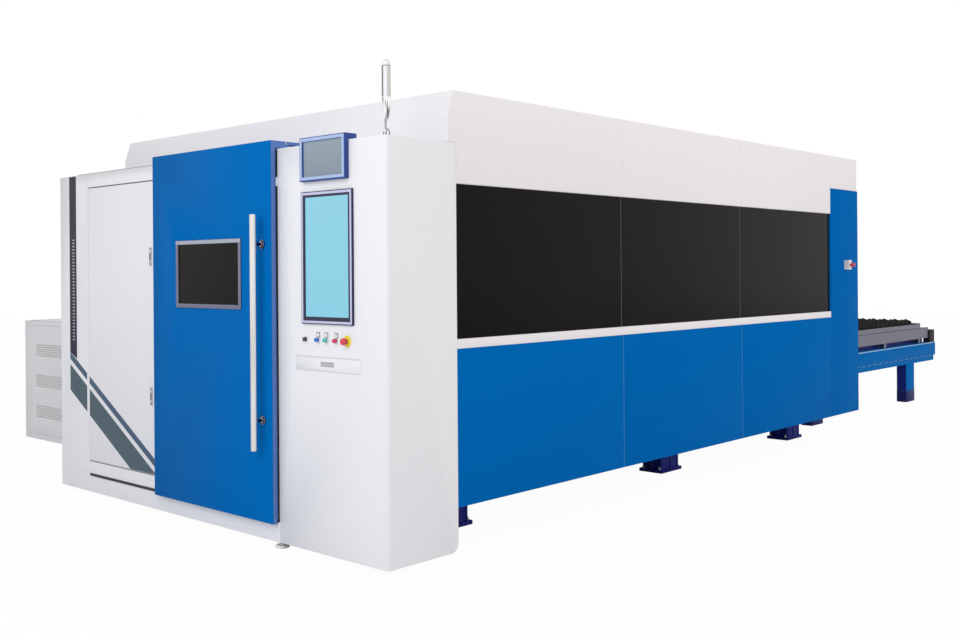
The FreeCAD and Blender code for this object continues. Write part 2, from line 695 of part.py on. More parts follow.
def make_console():
    """Closed console with its monitor cut-out, drawer slot and drawer runners."""
    def rear_foot(middle, span):
        back = size("end_depth") - 2 * size("house_wall")
        return span.YLength > 500 and middle.x > back and middle.z < 2 * size("skirt_gap")
    outer = box("console_outer", ("0", "0", "skirt_gap"),
                ("end_depth", "console_width", "end_top - skirt_gap"))
    soft = rounded("console_soft", outer, "edge_round",
                   lambda middle, span: span.ZLength > 1000 and middle.x < 1 and middle.y < 1)
    rolled = rounded("console_rolled", soft, "corner_round", rear_foot)
    room = box("console_room", ("house_wall", "house_wall", "skirt_gap + house_wall"),
               ("end_depth - 2 * house_wall", "console_width - 2 * house_wall",
                "end_top - skirt_gap - 2 * house_wall"))
    lip = "monitor_lip"
    monitor_hole = box("monitor_hole", ("-1", f"monitor_side + {lip}", f"monitor_bottom + {lip}"),
                       ("house_wall + 2", f"monitor_width - 2 * {lip}", f"monitor_height - 2 * {lip}"))
    drawer_hole = box("drawer_hole", ("-1", "drawer_side - seam", "drawer_bottom - seam"),
                      ("house_wall + 2", "drawer_width + 2 * seam", "drawer_height + 2 * seam"))
    inside = rounded("console_inside", room, "corner_round", rear_foot)
    shell = cut("console_shell", rolled, [inside, monitor_hole, drawer_hole])
    runners = []
    for i, y in enumerate(("drawer_side", "drawer_side + drawer_width - 2 * house_wall")):
        runners.append(box(f"runner_{i}", ("house_wall", y, "drawer_bottom - run_gap - house_wall"),
                           ("end_depth - 2 * house_wall", "2 * house_wall", "house_wall")))
    node(fuse("console_weld", [shell] + runners), "console_housing")


def make_door_fittings():
    node(box("track", ("track_back", "track_side", "end_top"),
             ("track_width", "track_length", "track_height")),
         "door_track")
    node(box("guide", ("0 - guide_depth", "track_side", "guide_bottom"),
             ("guide_depth", "track_length - 330", "guide_height")), "door_guide")


def make_sliding_door():
    """Hanging door: a folded pan whose top channel rides on the roof track."""
    width = "door_width"
    height = "door_top - door_bottom"
    pan = box("door_pan", (DOOR_FACE, "door_side", "door_bottom"), ("door_thick", width, height))
    cap = box("door_channel", (DOOR_FACE, "door_side", "end_top + door_clear"),
              (f"door_reach - {DOOR_FACE}", width, "door_top - end_top - door_clear"))
    inside = box("door_inside", (f"{DOOR_FACE} + sheet", "door_side + sheet", "door_bottom + sheet"),
                 ("door_thick", f"{width} - 2 * sheet", f"{height} - 2 * sheet"))
    inside_cap = box("door_inside_cap", (f"{DOOR_FACE} + sheet", "door_side + sheet", "end_top"),
                     (f"door_reach - {DOOR_FACE} - 2 * sheet", f"{width} - 2 * sheet",
                      "door_top - end_top - sheet"))
    notch = box("door_notch", ("track_back - sheet", "door_side - 1", "end_top"),
                ("track_width + 2 * sheet", f"{width} + 2", "track_height + sheet"))
    view = box("door_view",
               (f"{DOOR_FACE} - 1", "view_side + view_frame / 2", "view_bottom + view_frame / 2"),
               ("sheet + 2", "view_width - view_frame", "view_height - view_frame"))
    skin = cut("door_skin", fuse("door_blank", [pan, cap]), [inside, inside_cap, notch, view])
    hangers = []
    track_top = "(end_top + track_height + run_gap)"
    for i, y in enumerate(("door_side + hanger_inset",
                           "door_side + door_width - hanger_inset - hanger_length")):
        hangers.append(box(f"hanger_{i}", ("track_back", y, track_top),
                           ("track_width", "hanger_length", f"door_top - sheet - {track_top}")))
    node(fuse("door_weld", [skin] + hangers), "door_panel")

    frame = box("view_outer", (f"{DOOR_FACE} - view_proud", "view_side", "view_bottom"),
                ("view_proud", "view_width", "view_height"))
    tail = box("view_tail",
               (f"{DOOR_FACE} - 1", "view_side + view_frame / 2", "view_bottom + view_frame / 2"),
               ("door_thick / 2", "view_width - view_frame", "view_height - view_frame"))
    hole = box("view_hole",
               (f"{DOOR_FACE} - view_proud - 1", "view_side + view_frame", "view_bottom + view_frame"),
               ("door_thick", "view_width - 2 * view_frame", "view_height - 2 * view_frame"))
    node(cut("view_frame_cut", fuse("view_frame_blank", [frame, tail]), [hole]), "door_window_frame")
    node(box("view_glass", (DOOR_FACE, "view_side + view_frame", "view_bottom + view_frame"),
             ("glass", "view_width - 2 * view_frame", "view_height - 2 * view_frame")), "door_window_glass")

    bar_x = f"{DOOR_FACE} - handle_stand"
    parts = [rod("handle_bar", (bar_x, "handle_side", "handle_bottom"), "z", "handle_radius",
                 "handle_length")]
    for i, z in enumerate(("handle_bottom + stay_inset", "handle_bottom + handle_length - stay_inset")):
        parts.append(rod(f"handle_stay_{i}", (bar_x, "handle_side", z), "x", "stay_radius", "handle_stand"))
        parts.append(rod(f"handle_rose_{i}", (f"{DOOR_FACE} - rose_height", "handle_side", z), "x",
                         "rose_radius", "rose_height"))
    node(fuse("handle", parts), "door_handle")


def make_service_door():
    """Flush folded door with two turning latches; its hinge line is the opening's far edge."""
    y = "service_side + seam"
    z = "service_bottom + seam"
    width = "service_width - 2 * seam"
    height = "service_top - service_bottom - 2 * seam"
    pan = box("service_pan", ("0", y, z), ("panel_fold", width, height))
    soft = rounded("service_soft", pan, "door_bend",
                   lambda middle, span: span.ZLength > 1000 and middle.x < 1)
    hollow = box("service_hollow", ("sheet", f"{y} + sheet", f"{z} + sheet"),
                 ("panel_fold", f"{width} - 2 * sheet", f"{height} - 2 * sheet"))
    bore = rod("service_bore", ("hinge_inset", HINGE_SIDE, "service_bottom"), "z", "hinge_radius + run_gap",
               "service_top - service_bottom")
    node(cut("service_skin", soft, [hollow, bore]), "service_door")
    for name in ("lower", "upper"):
        pivot = f"latch_{name} + latch_length - latch_width / 2"
        middle = "service_side + latch_inset"
        node(fuse(f"latch_{name}_weld", [
            box(f"latch_{name}_arm", ("0 - latch_proud", f"{middle} - latch_width / 2", f"latch_{name}"),
                ("latch_proud - run_gap", "latch_width", "latch_length - latch_width / 2")),
            rod(f"latch_{name}_hub", ("0 - latch_proud", middle, pivot), "x", "latch_width / 2",
                "latch_proud - run_gap"),
        ]), f"{name}_latch")


def make_electrics():
    """Mounting plate in the service bay with rows of devices."""
    x = "bay_depth - bed_plate"
    y = "service_side + panel_fold"
    plate_width = "service_width - 2 * panel_fold"
    parts = [box("electrics_plate", (x, y, "service_bottom + panel_fold"),
                 ("bed_plate", plate_width, "service_top - service_bottom - 2 * panel_fold"))]
    rows = int(size("device_rows"))
    for i in range(rows):
        pitch = "(service_top - service_bottom) / (device_rows + 0.5)"
        z = f"service_bottom + panel_fold + ({i} + 0.25) * {pitch}"
        share = 0.5 + 0.4 * ((i * 2) % 3) / 2
        parts.append(box(f"device_{i}", (f"{x} - device_depth", f"{y} + panel_fold", z),
                         ("device_depth", f"({plate_width} - 2 * panel_fold) * {share}",
                          f"{pitch} / 2")))
    node(fuse("electrics", parts), "electrics_panel")


# ---------------------------------------------------------------- console fittings

def make_sign():
    face = box("sign_face", ("0 - sign_depth", "sign_side", "sign_bottom"),
               ("sign_depth", "sign_width", "sign_top - sign_bottom"))
    lap = box("sign_lap_plate", ("0 - sign_depth", "sign_side", "end_top"),
              ("sign_depth + sign_lap", "sign_width", "sign_top - end_top"))
    recess = box("sign_recess", ("0 - sign_depth - 1", "sign_side + sign_frame", "sign_bottom + sign_frame"),
                 ("2 * glass + 1", "sign_width - 2 * sign_frame", "sign_top - sign_bottom - 2 * sign_frame"))
    node(cut("sign_case", fuse("sign_blank", [face, lap]), [recess]), "sign_box")
    node(box("sign_insert", ("glass - sign_depth", "sign_side + sign_frame", "sign_bottom + sign_frame"),
             ("glass", "sign_width - 2 * sign_frame", "sign_top - sign_bottom - 2 * sign_frame")),
         "sign_panel")


def make_monitor():
    outer = box("monitor_outer", ("0 - monitor_proud", "monitor_side", "monitor_bottom"),
                ("monitor_proud", "monitor_width", "monitor_height"))
    lip = "monitor_lip"
    rear = box("monitor_rear", ("0 - 1", f"monitor_side + {lip}", f"monitor_bottom + {lip}"),
               ("monitor_depth + 1", f"monitor_width - 2 * {lip}", f"monitor_height - 2 * {lip}"))
    window = box("monitor_window",
                 ("0 - monitor_proud - 1", "monitor_side + monitor_frame", "monitor_bottom + monitor_frame"),
                 ("monitor_proud + 1 + glass", "monitor_width - 2 * monitor_frame",
                  "monitor_height - 2 * monitor_frame"))
    node(cut("monitor_case", fuse("monitor_blank", [outer, rear]), [window]), "monitor_bezel")
    node(box("screen", ("0 - glass / 2", "monitor_side + monitor_frame", "monitor_bottom + monitor_frame"),
             ("glass * 1.5", "monitor_width - 2 * monitor_frame", "monitor_height - 2 * monitor_frame")),
         "monitor_screen")


def facing(name, points, at, axis):
    """A turned piece laid on its side, with its height pointing out of the face it sits on."""
    piece = turned(name, points, at)
    turn = {"-x": FreeCAD.Rotation(Vector(0, 1, 0), -90), "-y": FreeCAD.Rotation(Vector(1, 0, 0), 90)}[axis]
    placement = piece.Placement
    placement.Rotation = turn
    piece.Placement = placement
    return piece


def button_outline():
    return [
        ("0", "button_travel + 1"),
        ("button_radius", "button_travel + 1"),
        ("button_radius", "button_reach"),
        ("0", "button_reach"),
    ]


def mushroom_outline(low):
    return [
        ("0", low),
        ("button_radius", low),
        ("button_radius", "mushroom_reach - mushroom_height"),
        ("mushroom_radius", "mushroom_reach - mushroom_height"),
        ("mushroom_radius", "mushroom_reach - mushroom_height / 3"),
        ("mushroom_radius - 7", "mushroom_reach"),
        ("0", "mushroom_reach"),
    ]


def bezel_outline():
    return [
        (BUTTON_BORE, "0"),
        ("bezel_radius", "0"),
        ("bezel_radius", "bezel_height"),
        (BUTTON_BORE, "bezel_height"),
    ]


def make_controls():
    bezels = []
    for name in ("blue", "green", "red"):
        y = f"{name}_side"
        node(facing(f"{name}_push", button_outline(), ("0", y, "button_floor"), "-x"), f"{name}_button")
        ring = facing(f"{name}_ring", bezel_outline(), ("0", y, "button_floor"), "-x")
        plate = box(f"{name}_plate",
                    ("0 - legend_thick", f"{y} - legend_width / 2", "button_floor - legend_drop"),
                    ("legend_thick", "legend_width", "legend_height"))
        bore = rod(f"{name}_bore", ("0 - legend_thick - 1", y, "button_floor"), "x", BUTTON_BORE,
                   "legend_thick + 2")
        bezels.append(fuse(f"{name}_bezel", [ring, cut(f"{name}_legend", plate, [bore])]))
    key_ring = facing("key_ring", bezel_outline(), ("0", "key_side", "button_floor"), "-x")
    stop_ring = facing("stop_ring", bezel_outline(), ("0 - legend_thick", "stop_side", "button_floor"), "-x")
    bezels += [key_ring, stop_ring]
    node(group("bezels", bezels), "control_bezels")
    node(rod("stop_disc", ("0 - legend_thick", "stop_side", "button_floor"), "x", "plate_radius",
             "legend_thick"),
         "estop_plate")
    node(facing("stop_head", mushroom_outline("button_travel + 1 + legend_thick"),
                ("0", "stop_side", "button_floor"), "-x"), "console_estop")

    barrel = rod("key_barrel", ("0 - bezel_height - 2", "key_side", "button_floor"), "x", "button_radius",
                 "bezel_height + 1")
    bow = box("key_bow", ("0 - button_reach - 4", "key_side - 2", "button_floor - button_radius"),
              ("button_reach + 4 - bezel_height", "4", "2 * button_radius"))
    node(fuse("key", [barrel, bow]), "key_switch")


def make_drawer():
    y, z = "drawer_side", "drawer_bottom"
    front = box("drawer_face", ("0", y, z), ("drawer_front", "drawer_width", "drawer_height"))
    tray = box("drawer_tray", ("drawer_front", f"{y} + sheet", z),
               ("drawer_depth - drawer_front", "drawer_width - 2 * sheet", "drawer_height - 2 * sheet"))
    room = box("drawer_room", ("drawer_front", f"{y} + 2 * sheet", f"{z} + sheet"),
               ("drawer_depth - drawer_front - sheet", "drawer_width - 4 * sheet", "drawer_height"))
    pull = box("drawer_pull", ("-1", f"{y} + drawer_width / 2 - pull_width / 2",
                               f"{z} + drawer_height / 2 - pull_height / 2"),
               ("pull_depth + 1", "pull_width", "pull_height"))
    body = fuse("drawer_body", [front, cut("drawer_box", tray, [room])])
    node(cut("drawer", body, [pull]), "keyboard_drawer")

    key_y = "drawer_side + drawer_width / 2 - keyboard_width / 2"
    base_z = "drawer_bottom + sheet"
    parts = [box("keyboard_base", ("3 * drawer_front", key_y, base_z),
                 ("keyboard_depth", "keyboard_width", "keyboard_height"))]
    for i in range(int(size("key_rows"))):
        parts.append(box(f"key_row_{i}", (f"3 * drawer_front + 8 + {i} * (keyboard_depth - 12) / key_rows",
                                          f"{key_y} + 8", f"{base_z} + keyboard_height"),
                         ("(keyboard_depth - 12) / key_rows - 5", "keyboard_width - 16", "7")))
    node(fuse("keyboard_weld", parts), "keyboard")


def make_stack_light():
    foot, neck, lens = "lamp_base_radius", "lamp_neck_radius", "lamp_lens_radius"
    rise = "(lamp_lens_floor - end_top)"
    node(turned("lamp_stem", [
        ("0", "0"),
        (foot, "0"),
        (foot, f"{rise} * 0.12"),
        (neck, f"{rise} * 0.45"),
        (f"{lens} + 1", f"{rise} * 0.94"),
        (f"{lens} + 1", rise),
        ("0", rise),
    ], ("lamp_back", "lamp_side", "end_top")), "stack_light_base")
    tall = "(lamp_top - lamp_lens_floor)"
    outline = [
        ("0", "0"),
        (lens, "0"),
        (lens, f"{tall} * 0.9"),
        (f"{lens} * 0.55", tall),
        ("0", tall),
    ]
    node(turned("lamp_lens", outline, ("lamp_back", "lamp_side", "lamp_lens_floor")), "stack_light_lens")


# ---------------------------------------------------------------- rear end

def make_rear():
    """Two columns and the portal plate that the pallet passes through."""
    height = "end_top - panel_bottom"
    for side, y, open_y in (("near", "0", "portal_sheet"),
                            ("far", far("0", "column_depth"), f"{far('0', 'column_depth')} - portal_sheet")):
        outer = box(f"{side}_column_outer", (SIDE_END, y, "panel_bottom"),
                    ("column_length", "column_depth", height))
        room = box(f"{side}_column_room", (f"{SIDE_END} - 1", open_y, "panel_bottom - 1"),
                   ("column_length - portal_sheet + 1", "column_depth", f"{height} - house_wall + 1"))
        node(cut(f"{side}_column_shell", outer, [room]), f"{side}_column")
    plate = box("portal_plate", (f"{REAR_FACE} - portal_sheet", "column_depth", "panel_bottom"),
                ("portal_sheet", "house_width - 2 * column_depth", height))
    roof = box("portal_roof", (f"hood_end - hood_wall", "column_depth", "end_top - house_wall"),
               (f"{REAR_FACE} - hood_end + hood_wall", "house_width - 2 * column_depth", "house_wall"))
    slot = box("portal_slot", (f"{REAR_FACE} - portal_sheet - 1", "slot_inset", "panel_bottom - 1"),
               ("portal_sheet + 2", "house_width - 2 * slot_inset", "slot_top - panel_bottom + 1"))
    node(cut("portal", fuse("portal_blank", [plate, roof]), [slot]), "rear_portal")
    case = box("column_stop_case", ("column_stop_back", "0 - column_stop_depth", "column_stop_floor"),
               ("column_stop_width", "column_stop_depth", "column_stop_height"))
    middle = ("column_stop_back + column_stop_width / 2", "0 - column_stop_depth",
              "column_stop_floor + column_stop_height / 2")
    bore = rod("column_stop_bore", (middle[0], "0 - column_stop_depth - 1", middle[2]), "y", BUTTON_BORE,
               "stop_stem + button_travel + 2")
    node(cut("column_stop_body", case, [bore]), "column_estop_box")
    node(facing("column_stop_head", mushroom_outline("0 - stop_stem"), middle, "-y"), "column_estop")


# ---------------------------------------------------------------- gantry

def make_gantry():
    """Bridge beam on two saddles that straddle the bed rails, with a drive at each end."""
    span = "house_width - 2 * beam_inset"
    parts = [tube("bridge", ("gantry_start + bridge_inset", "beam_inset", BRIDGE_FLOOR),
                  ("bridge_width", span, "bridge_height"), "bridge_plate", "y")]
    for side in ("near", "far"):
        parts.append(box(f"saddle_{side}",
                         ("gantry_start", across(side, "beam_inset", "beam_width"), SADDLE_FLOOR),
                         ("saddle_length", "beam_width", "saddle_height")))
        block_side = f"({RAIL_AXIS} - rail_width)"
        for i, x in enumerate(("gantry_start", "gantry_start + saddle_length - saddle_length / 4")):
            block = box(f"block_{side}_{i}",
                        (x, across(side, block_side, "2 * rail_width"), "beam_top + rail_groove"),
                        ("saddle_length / 4", "2 * rail_width", f"{SADDLE_FLOOR} - beam_top - rail_groove"))
            bore_width = "rail_width + 2 * run_gap"
            bore_y = across(side, f"({block_side} + rail_width / 2 - run_gap)", bore_width)
            bore = box(f"block_bore_{side}_{i}", (f"{x} - 1", bore_y, "beam_top"),
                       ("saddle_length / 4 + 2", bore_width, "rail_height + run_gap"))
            parts.append(cut(f"block_cut_{side}_{i}", block, [bore]))
        parts.append(box(f"motor_{side}", ("gantry_start + saddle_length - motor_size",
                                           across(side, "(beam_inset + beam_width / 4)", "motor_size"),
                                           f"{SADDLE_FLOOR} + saddle_height"),
                         ("motor_size", "motor_size", "motor_height")))
    for i, z in enumerate((f"{BRIDGE_FLOOR} + cross_rail_edge",
                           f"{BRIDGE_FLOOR} + bridge_height - cross_rail_edge - rail_height")):
        parts.append(box(f"cross_rail_{i}", (BRIDGE_BACK, "beam_inset + beam_width", z),
                         ("cross_rail", f"{span} - 2 * beam_width", "rail_height")))
    node(fuse("gantry", parts), "gantry_beam")

    plate = box("carriage_back", (f"{BRIDGE_BACK} + cross_rail + run_gap", "carriage_side", BRIDGE_FLOOR),
                ("carriage_plate", "carriage_width", "bridge_height"))
    motor = box("carriage_motor", (f"{BRIDGE_BACK} + cross_rail + run_gap", "carriage_side + motor_size / 4",
                                   f"{BRIDGE_FLOOR} + bridge_height"),
                ("carriage_plate", "carriage_width - motor_size / 2", "motor_size"))
    node(fuse("carriage", [plate, motor]), "gantry_carriage")

    middle = "(carriage_side + carriage_width / 2)"
    slide = box("head_slide", (f"{CARRIAGE_FACE} + run_gap", f"{middle} - slide_width / 2", "slide_bottom"),
                ("slide_plate", "slide_width", "slide_top - slide_bottom"))
    clamp = box("head_clamp", (f"{CARRIAGE_FACE} + run_gap + slide_plate", f"{middle} - head_radius - 8",
                               "slide_bottom + 60"),
                ("head_radius - 5", "2 * head_radius + 16", "120"))
    body = turned("head_body", [
        ("0", "0"),
        ("nozzle_radius", "0"),
        ("head_radius * 0.6", "nozzle_height"),
        ("head_radius * 0.6", "2 * nozzle_height"),
        ("head_radius", "2 * nozzle_height"),
        ("head_radius", "head_height"),
        ("0", "head_height"),
    ], (HEAD_AXIS, middle, "nozzle_floor"))
    node(fuse("head", [slide, clamp, body]), "cutting_head")


# ---------------------------------------------------------------- shuttle table

def make_table():
    """Shuttle table: two box beams with lower flanges and kerb strips, braced legs and end stops."""
    start = "bed_end"
    leg_top = "(table_top - table_height - flange_height)"
    stop_start = "(table_end - stop_length - stop_inset)"
    beam_middle = "(table_inset + table_beam / 2)"
    parts = []
    for side in ("near", "far"):
        beam_y = across(side, "table_inset", "table_beam")
        parts.append(box(f"table_beam_{side}", (start, beam_y, "table_top - table_height"),
                         (f"table_end - {start}", "table_beam", "table_height")))
        flange = "table_beam - table_plate"
        parts.append(box(f"table_flange_{side}",
                         (start, across(side, "(table_inset + table_plate / 2)", flange), leg_top),
                         (f"table_end - flange_short - {start}", flange, "flange_height")))
        stop_y = across(side, "(table_inset + table_plate)", "stop_width")
        parts.append(box(f"table_stop_{side}", (stop_start, stop_y, "table_top"),
                         ("stop_length", "stop_width", "stop_height")))
        kerb_y = across(side, "(table_inset + table_beam - kerb_width)", "kerb_width")
        parts.append(box(f"table_kerb_{side}", (start, kerb_y, "table_top"),
                         (f"{stop_start} - {start}", "kerb_width", "kerb_height")))
        for i, x in enumerate(LEG_PLACES):
            leg_y = across(side, f"({beam_middle} - leg_across / 2)", "leg_across")
            parts.append(box(f"leg_{side}_{i}", (x, leg_y, "0"), ("leg_size", "leg_across", leg_top)))
    for i, x in enumerate(LEG_PLACES):
        parts.append(box(f"leg_stay_{i}", (f"{x} + 7 * table_plate", beam_middle, leg_top),
                         ("leg_size - 14 * table_plate", f"house_width - 2 * {beam_middle}", "stay_height")))
    parts.append(box("table_end_stay",
                     ("table_end - flange_short - stay_height", beam_middle, "table_top - table_height"),
                     ("stay_height", f"house_width - 2 * {beam_middle}", "stay_height")))
    node(fuse("table", parts), "exchange_frame")


def make_pallet():
    """Pallet frame: channel side members, slat seats and cross members, with wheel brackets below."""
    parts = []
    for side in ("near", "far"):
        outer = box(f"member_{side}",
                    ("pallet_start", across(side, "pallet_inset", "member_width"), "member_bottom"),
                    ("pallet_length", "member_width", "member_height"))
        bore = box(f"member_bore_{side}",
                   ("pallet_start - 1", across(side, "(pallet_inset + member_plate)", "member_width"),
                    "member_bottom + member_plate"),
                   ("pallet_length + 2", "member_width", "member_height - 2 * member_plate"))
        parts.append(cut(f"member_cut_{side}", outer, [bore]))
        seat_y = across(side, "(pallet_inset + member_plate)", "strip_width")
        parts.append(box(f"seat_{side}", ("pallet_start", seat_y, "member_bottom + member_height"),
                         ("pallet_length - strip_short", "strip_width", "strip_height")))
        for i in range(int(size("wheel_count"))):
            x = f"(pallet_start + wheel_first + {i} * wheel_pitch)"
            for j, y in enumerate(("pallet_inset", "pallet_inset + member_width - member_plate")):
                parts.append(box(f"bracket_{side}_{i}{j}",
                                 (f"{x} - wheel_radius", across(side, y, "member_plate"),
                                  "table_top + wheel_radius / 2"),
                                 ("2 * wheel_radius", "member_plate",
                                  "member_bottom + member_plate - table_top - wheel_radius / 2")))
    inner = "(pallet_inset + member_plate)"
    span = f"house_width - 2 * {inner}"
    low = "(member_bottom + member_plate)"
    for i in range(4):
        parts.append(box(f"pallet_cross_{i}",
                         (f"pallet_start + {i} * (pallet_length - member_width) / 3", inner, low),
                         ("member_width", span, f"slat_bottom - bearer_height / 2 - {low}")))
    member_top = "(member_bottom + member_height)"
    parts.append(box("pallet_sill", ("pallet_start + pallet_length - member_width", inner, low),
                     ("member_width - table_plate", span, f"{member_top} - {low}")))
    deck_x = "(slat_first + (slat_count - 1) * slat_pitch + slat_thick)"
    parts.append(box("pallet_deck", (f"pallet_start + {deck_x}", inner, f"{member_top} + strip_height"),
                     (f"pallet_length - strip_short - {deck_x}", span, "bed_plate")))
    node(fuse("pallet", parts), "pallet_frame")


def make_slats():
    """Saw-toothed support slats, let into three bearers."""
    ends = "(pallet_inset + member_width)"
    length = f"(house_width - 2 * {ends})"
    outline = [
        (ends, "slat_bottom"),
        (f"{ends} + {length}", "slat_bottom"),
        (f"{ends} + {length}", "slat_valley"),
    ]
    for i in range(int(size("tooth_count")), 0, -1):
        outline.append((f"{ends} + {length} * ({i} - 0.5) / tooth_count", "slat_tip"))
        outline.append((f"{ends} + {length} * ({i} - 1) / tooth_count", "slat_valley"))
    body = new_body("slats")
    slat = pad(body, "slat_pad", profile(body, "slat_outline", "YZ_Plane", outline), "slat_thick")
    row = body.newObject("PartDesign::LinearPattern", "slat_row")
    row.Originals = [slat]
    row.Direction = ([line for line in body.Origin.OriginFeatures if line.Role == "X_Axis"][0], [""])
    bind(row, "Length", "(slat_count - 1) * slat_pitch")
    bind(row, "Occurrences", "slat_count")
    body.Tip = row
    place(body, ("pallet_start + slat_first", "0", "0"))
    bearers = []
    for i in range(int(size("bearer_count"))):
        bearers.append(box(f"bearer_{i}", ("pallet_start", f"{ends} + {length} * ({i} + 0.5) / bearer_count",
                                           "slat_bottom - bearer_height / 2"),
                           ("slat_first + slat_count * slat_pitch - slat_pitch / 2", "2 * slat_thick",
                            "bearer_height")))
    node(fuse("slat_bed", [body] + bearers), "pallet_slats")


def make_wheels():
    """Wheel pairs between their brackets, one pair for each axle line."""
    gap = "(member_width - 2 * member_plate - 2 * run_gap)"
    for i in range(int(size("wheel_count"))):
        x = f"(pallet_start + wheel_first + {i} * wheel_pitch)"
        pair = []
        for side in ("near", "far"):
            wheel_y = across(side, "(pallet_inset + member_plate + run_gap)", gap)
            pair.append(rod(f"wheel_{i}_{side}", (x, wheel_y, "table_top + wheel_radius"), "y",
                            "wheel_radius", gap))
        node(group(f"wheels_{i}", pair), f"pallet_wheels_{i + 1}")


# ---------------------------------------------------------------- chiller

def make_chiller():
    """Free-standing chiller with three bands of vent slots, joined to the bed by a floor duct."""
    x, y = "chiller_back", "chiller_side"
    shell = box("chiller_box", (x, y, "0"), ("chiller_depth", "chiller_width", "chiller_height"))
    cuts = []
    for name, z in (("plinth", "chiller_plinth"), ("lid", "chiller_height - chiller_lid")):
        ring = box(f"chiller_{name}_gap", (f"{x} - 1", f"{y} - 1", z),
                   ("chiller_depth + 2", "chiller_width + 2", "chiller_seam"))
        core = box(f"chiller_{name}_core", (f"{x} + chiller_seam", f"{y} + chiller_seam", f"{z} - 1"),
                   ("chiller_depth - 2 * chiller_seam", "chiller_width - 2 * chiller_seam",
                    "chiller_seam + 2"))
        cuts.append(cut(f"chiller_{name}_groove", ring, [core]))
    for i in range(int(size("vent_bands"))):
        for j in range(int(size("vent_slots"))):
            cuts.append(box(f"vent_{i}_{j}", (f"{x} - 1", f"{y} + vent_inset",
                                              f"vent_first + {i} * vent_pitch + {j} * vent_step"),
                            ("vent_depth + 1", "chiller_width - 2 * vent_inset", "vent_slot")))
    node(cut("chiller", shell, cuts), "chiller_cabinet")
    bed_face = "(house_width - beam_inset)"
    run = box("duct_run", ("duct_back", bed_face, "0"),
              ("duct_width", f"chiller_side - {bed_face}", "duct_height"))
    riser = box("duct_riser", ("duct_back", bed_face, "0"),
                ("duct_width", "duct_height", "beam_bottom + duct_height"))
    node(fuse("duct", [run, riser]), "cable_duct")


for make in (make_bed, make_feet, make_guides, make_side_frames, make_sides, make_hood, make_end_housing,
             make_console, make_door_fittings, make_sliding_door, make_service_door, make_electrics,
             make_sign, make_monitor, make_controls, make_drawer, make_stack_light, make_rear, make_gantry,
             make_table, make_pallet, make_slats, make_wheels, make_chiller):
    make()
doc.recompute()

problems = [f"{piece.Name}: {', '.join(piece.State)}" for piece in doc.Objects
            if {"Invalid", "Error"} & set(piece.State)]
problems += [f"{piece.Label}: no valid shape" for piece in NODES
             if piece.Shape.isNull() or not piece.Shape.isValid()]
if problems:
    raise RuntimeError("; ".join(problems))

os.makedirs("parts", exist_ok=True)
for piece in NODES:
    piece.Shape.exportStep(f"parts/{piece.Label}.step")
    print(f"{piece.Label}: {piece.Shape.Volume / 1e6:.3f} litres, {len(piece.Shape.Solids)} solids")
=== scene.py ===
"""Looks of an enclosed fiber laser cutting machine with its shuttle table and chiller."""
import json
import math

import bmesh
import bpy
import numpy as np
from mathutils import Matrix, Vector

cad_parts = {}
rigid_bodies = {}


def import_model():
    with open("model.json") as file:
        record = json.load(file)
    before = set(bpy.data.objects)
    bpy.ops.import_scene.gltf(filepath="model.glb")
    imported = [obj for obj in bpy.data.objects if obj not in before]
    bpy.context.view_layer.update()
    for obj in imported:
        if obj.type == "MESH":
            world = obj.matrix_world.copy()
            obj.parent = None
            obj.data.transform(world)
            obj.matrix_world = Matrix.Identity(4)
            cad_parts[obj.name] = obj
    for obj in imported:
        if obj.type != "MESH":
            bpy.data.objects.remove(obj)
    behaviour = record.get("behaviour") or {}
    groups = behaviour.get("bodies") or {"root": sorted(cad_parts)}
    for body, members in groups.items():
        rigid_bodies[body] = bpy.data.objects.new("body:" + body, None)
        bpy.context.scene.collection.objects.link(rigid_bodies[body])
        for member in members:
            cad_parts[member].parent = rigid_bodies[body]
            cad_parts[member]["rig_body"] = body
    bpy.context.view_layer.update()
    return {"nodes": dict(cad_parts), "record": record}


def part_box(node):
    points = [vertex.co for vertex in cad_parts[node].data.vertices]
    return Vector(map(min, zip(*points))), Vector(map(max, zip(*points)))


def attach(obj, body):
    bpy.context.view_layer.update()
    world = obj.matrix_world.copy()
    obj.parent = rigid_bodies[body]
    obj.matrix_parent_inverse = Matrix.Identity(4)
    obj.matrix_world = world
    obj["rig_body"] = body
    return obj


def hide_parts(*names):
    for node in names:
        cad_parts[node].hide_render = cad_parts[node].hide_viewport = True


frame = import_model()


# ---------------------------------------------------------------- the view
# The photograph was taken from eye height, to the left of the operator end, with a normal lens held level
# and shifted a little to take in the floor. Places are measured from the machine's near front corner.

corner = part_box("console_housing")[0]


def at(along, across, up):
    """A place in millimetres from the near front corner at floor level, turned to metres in the frame."""
    return Vector((corner.x + along / 1000, corner.y + across / 1000, up / 1000))


photo_width, photo_height = 960, 640
focal_pixels = 1067.84
horizon_row = 271.34
sensor_mm = 36
heading = math.radians(42.38)
roll = math.radians(-0.41)
ahead = Vector((math.cos(heading), math.sin(heading), 0))
level = Vector((math.sin(heading), -math.cos(heading), 0))
upward = Vector((0, 0, 1))
right = level * math.cos(roll) + upward * math.sin(roll)
above = upward * math.cos(roll) - level * math.sin(roll)

lens = bpy.data.cameras.new("camera")
lens.sensor_width = sensor_mm
lens.lens = focal_pixels / photo_width * sensor_mm
lens.shift_y = (horizon_row - photo_height / 2) / photo_width
lens.clip_end = 200
camera = bpy.data.objects.new("camera", lens)
turn = Matrix((right, above, -ahead)).transposed().to_4x4()
camera.matrix_world = Matrix.Translation(at(-3634.75, -3951.96, 1548.73)) @ turn
bpy.context.scene.collection.objects.link(camera)
bpy.context.scene.camera = camera
bpy.context.scene.view_settings.view_transform = "Standard"


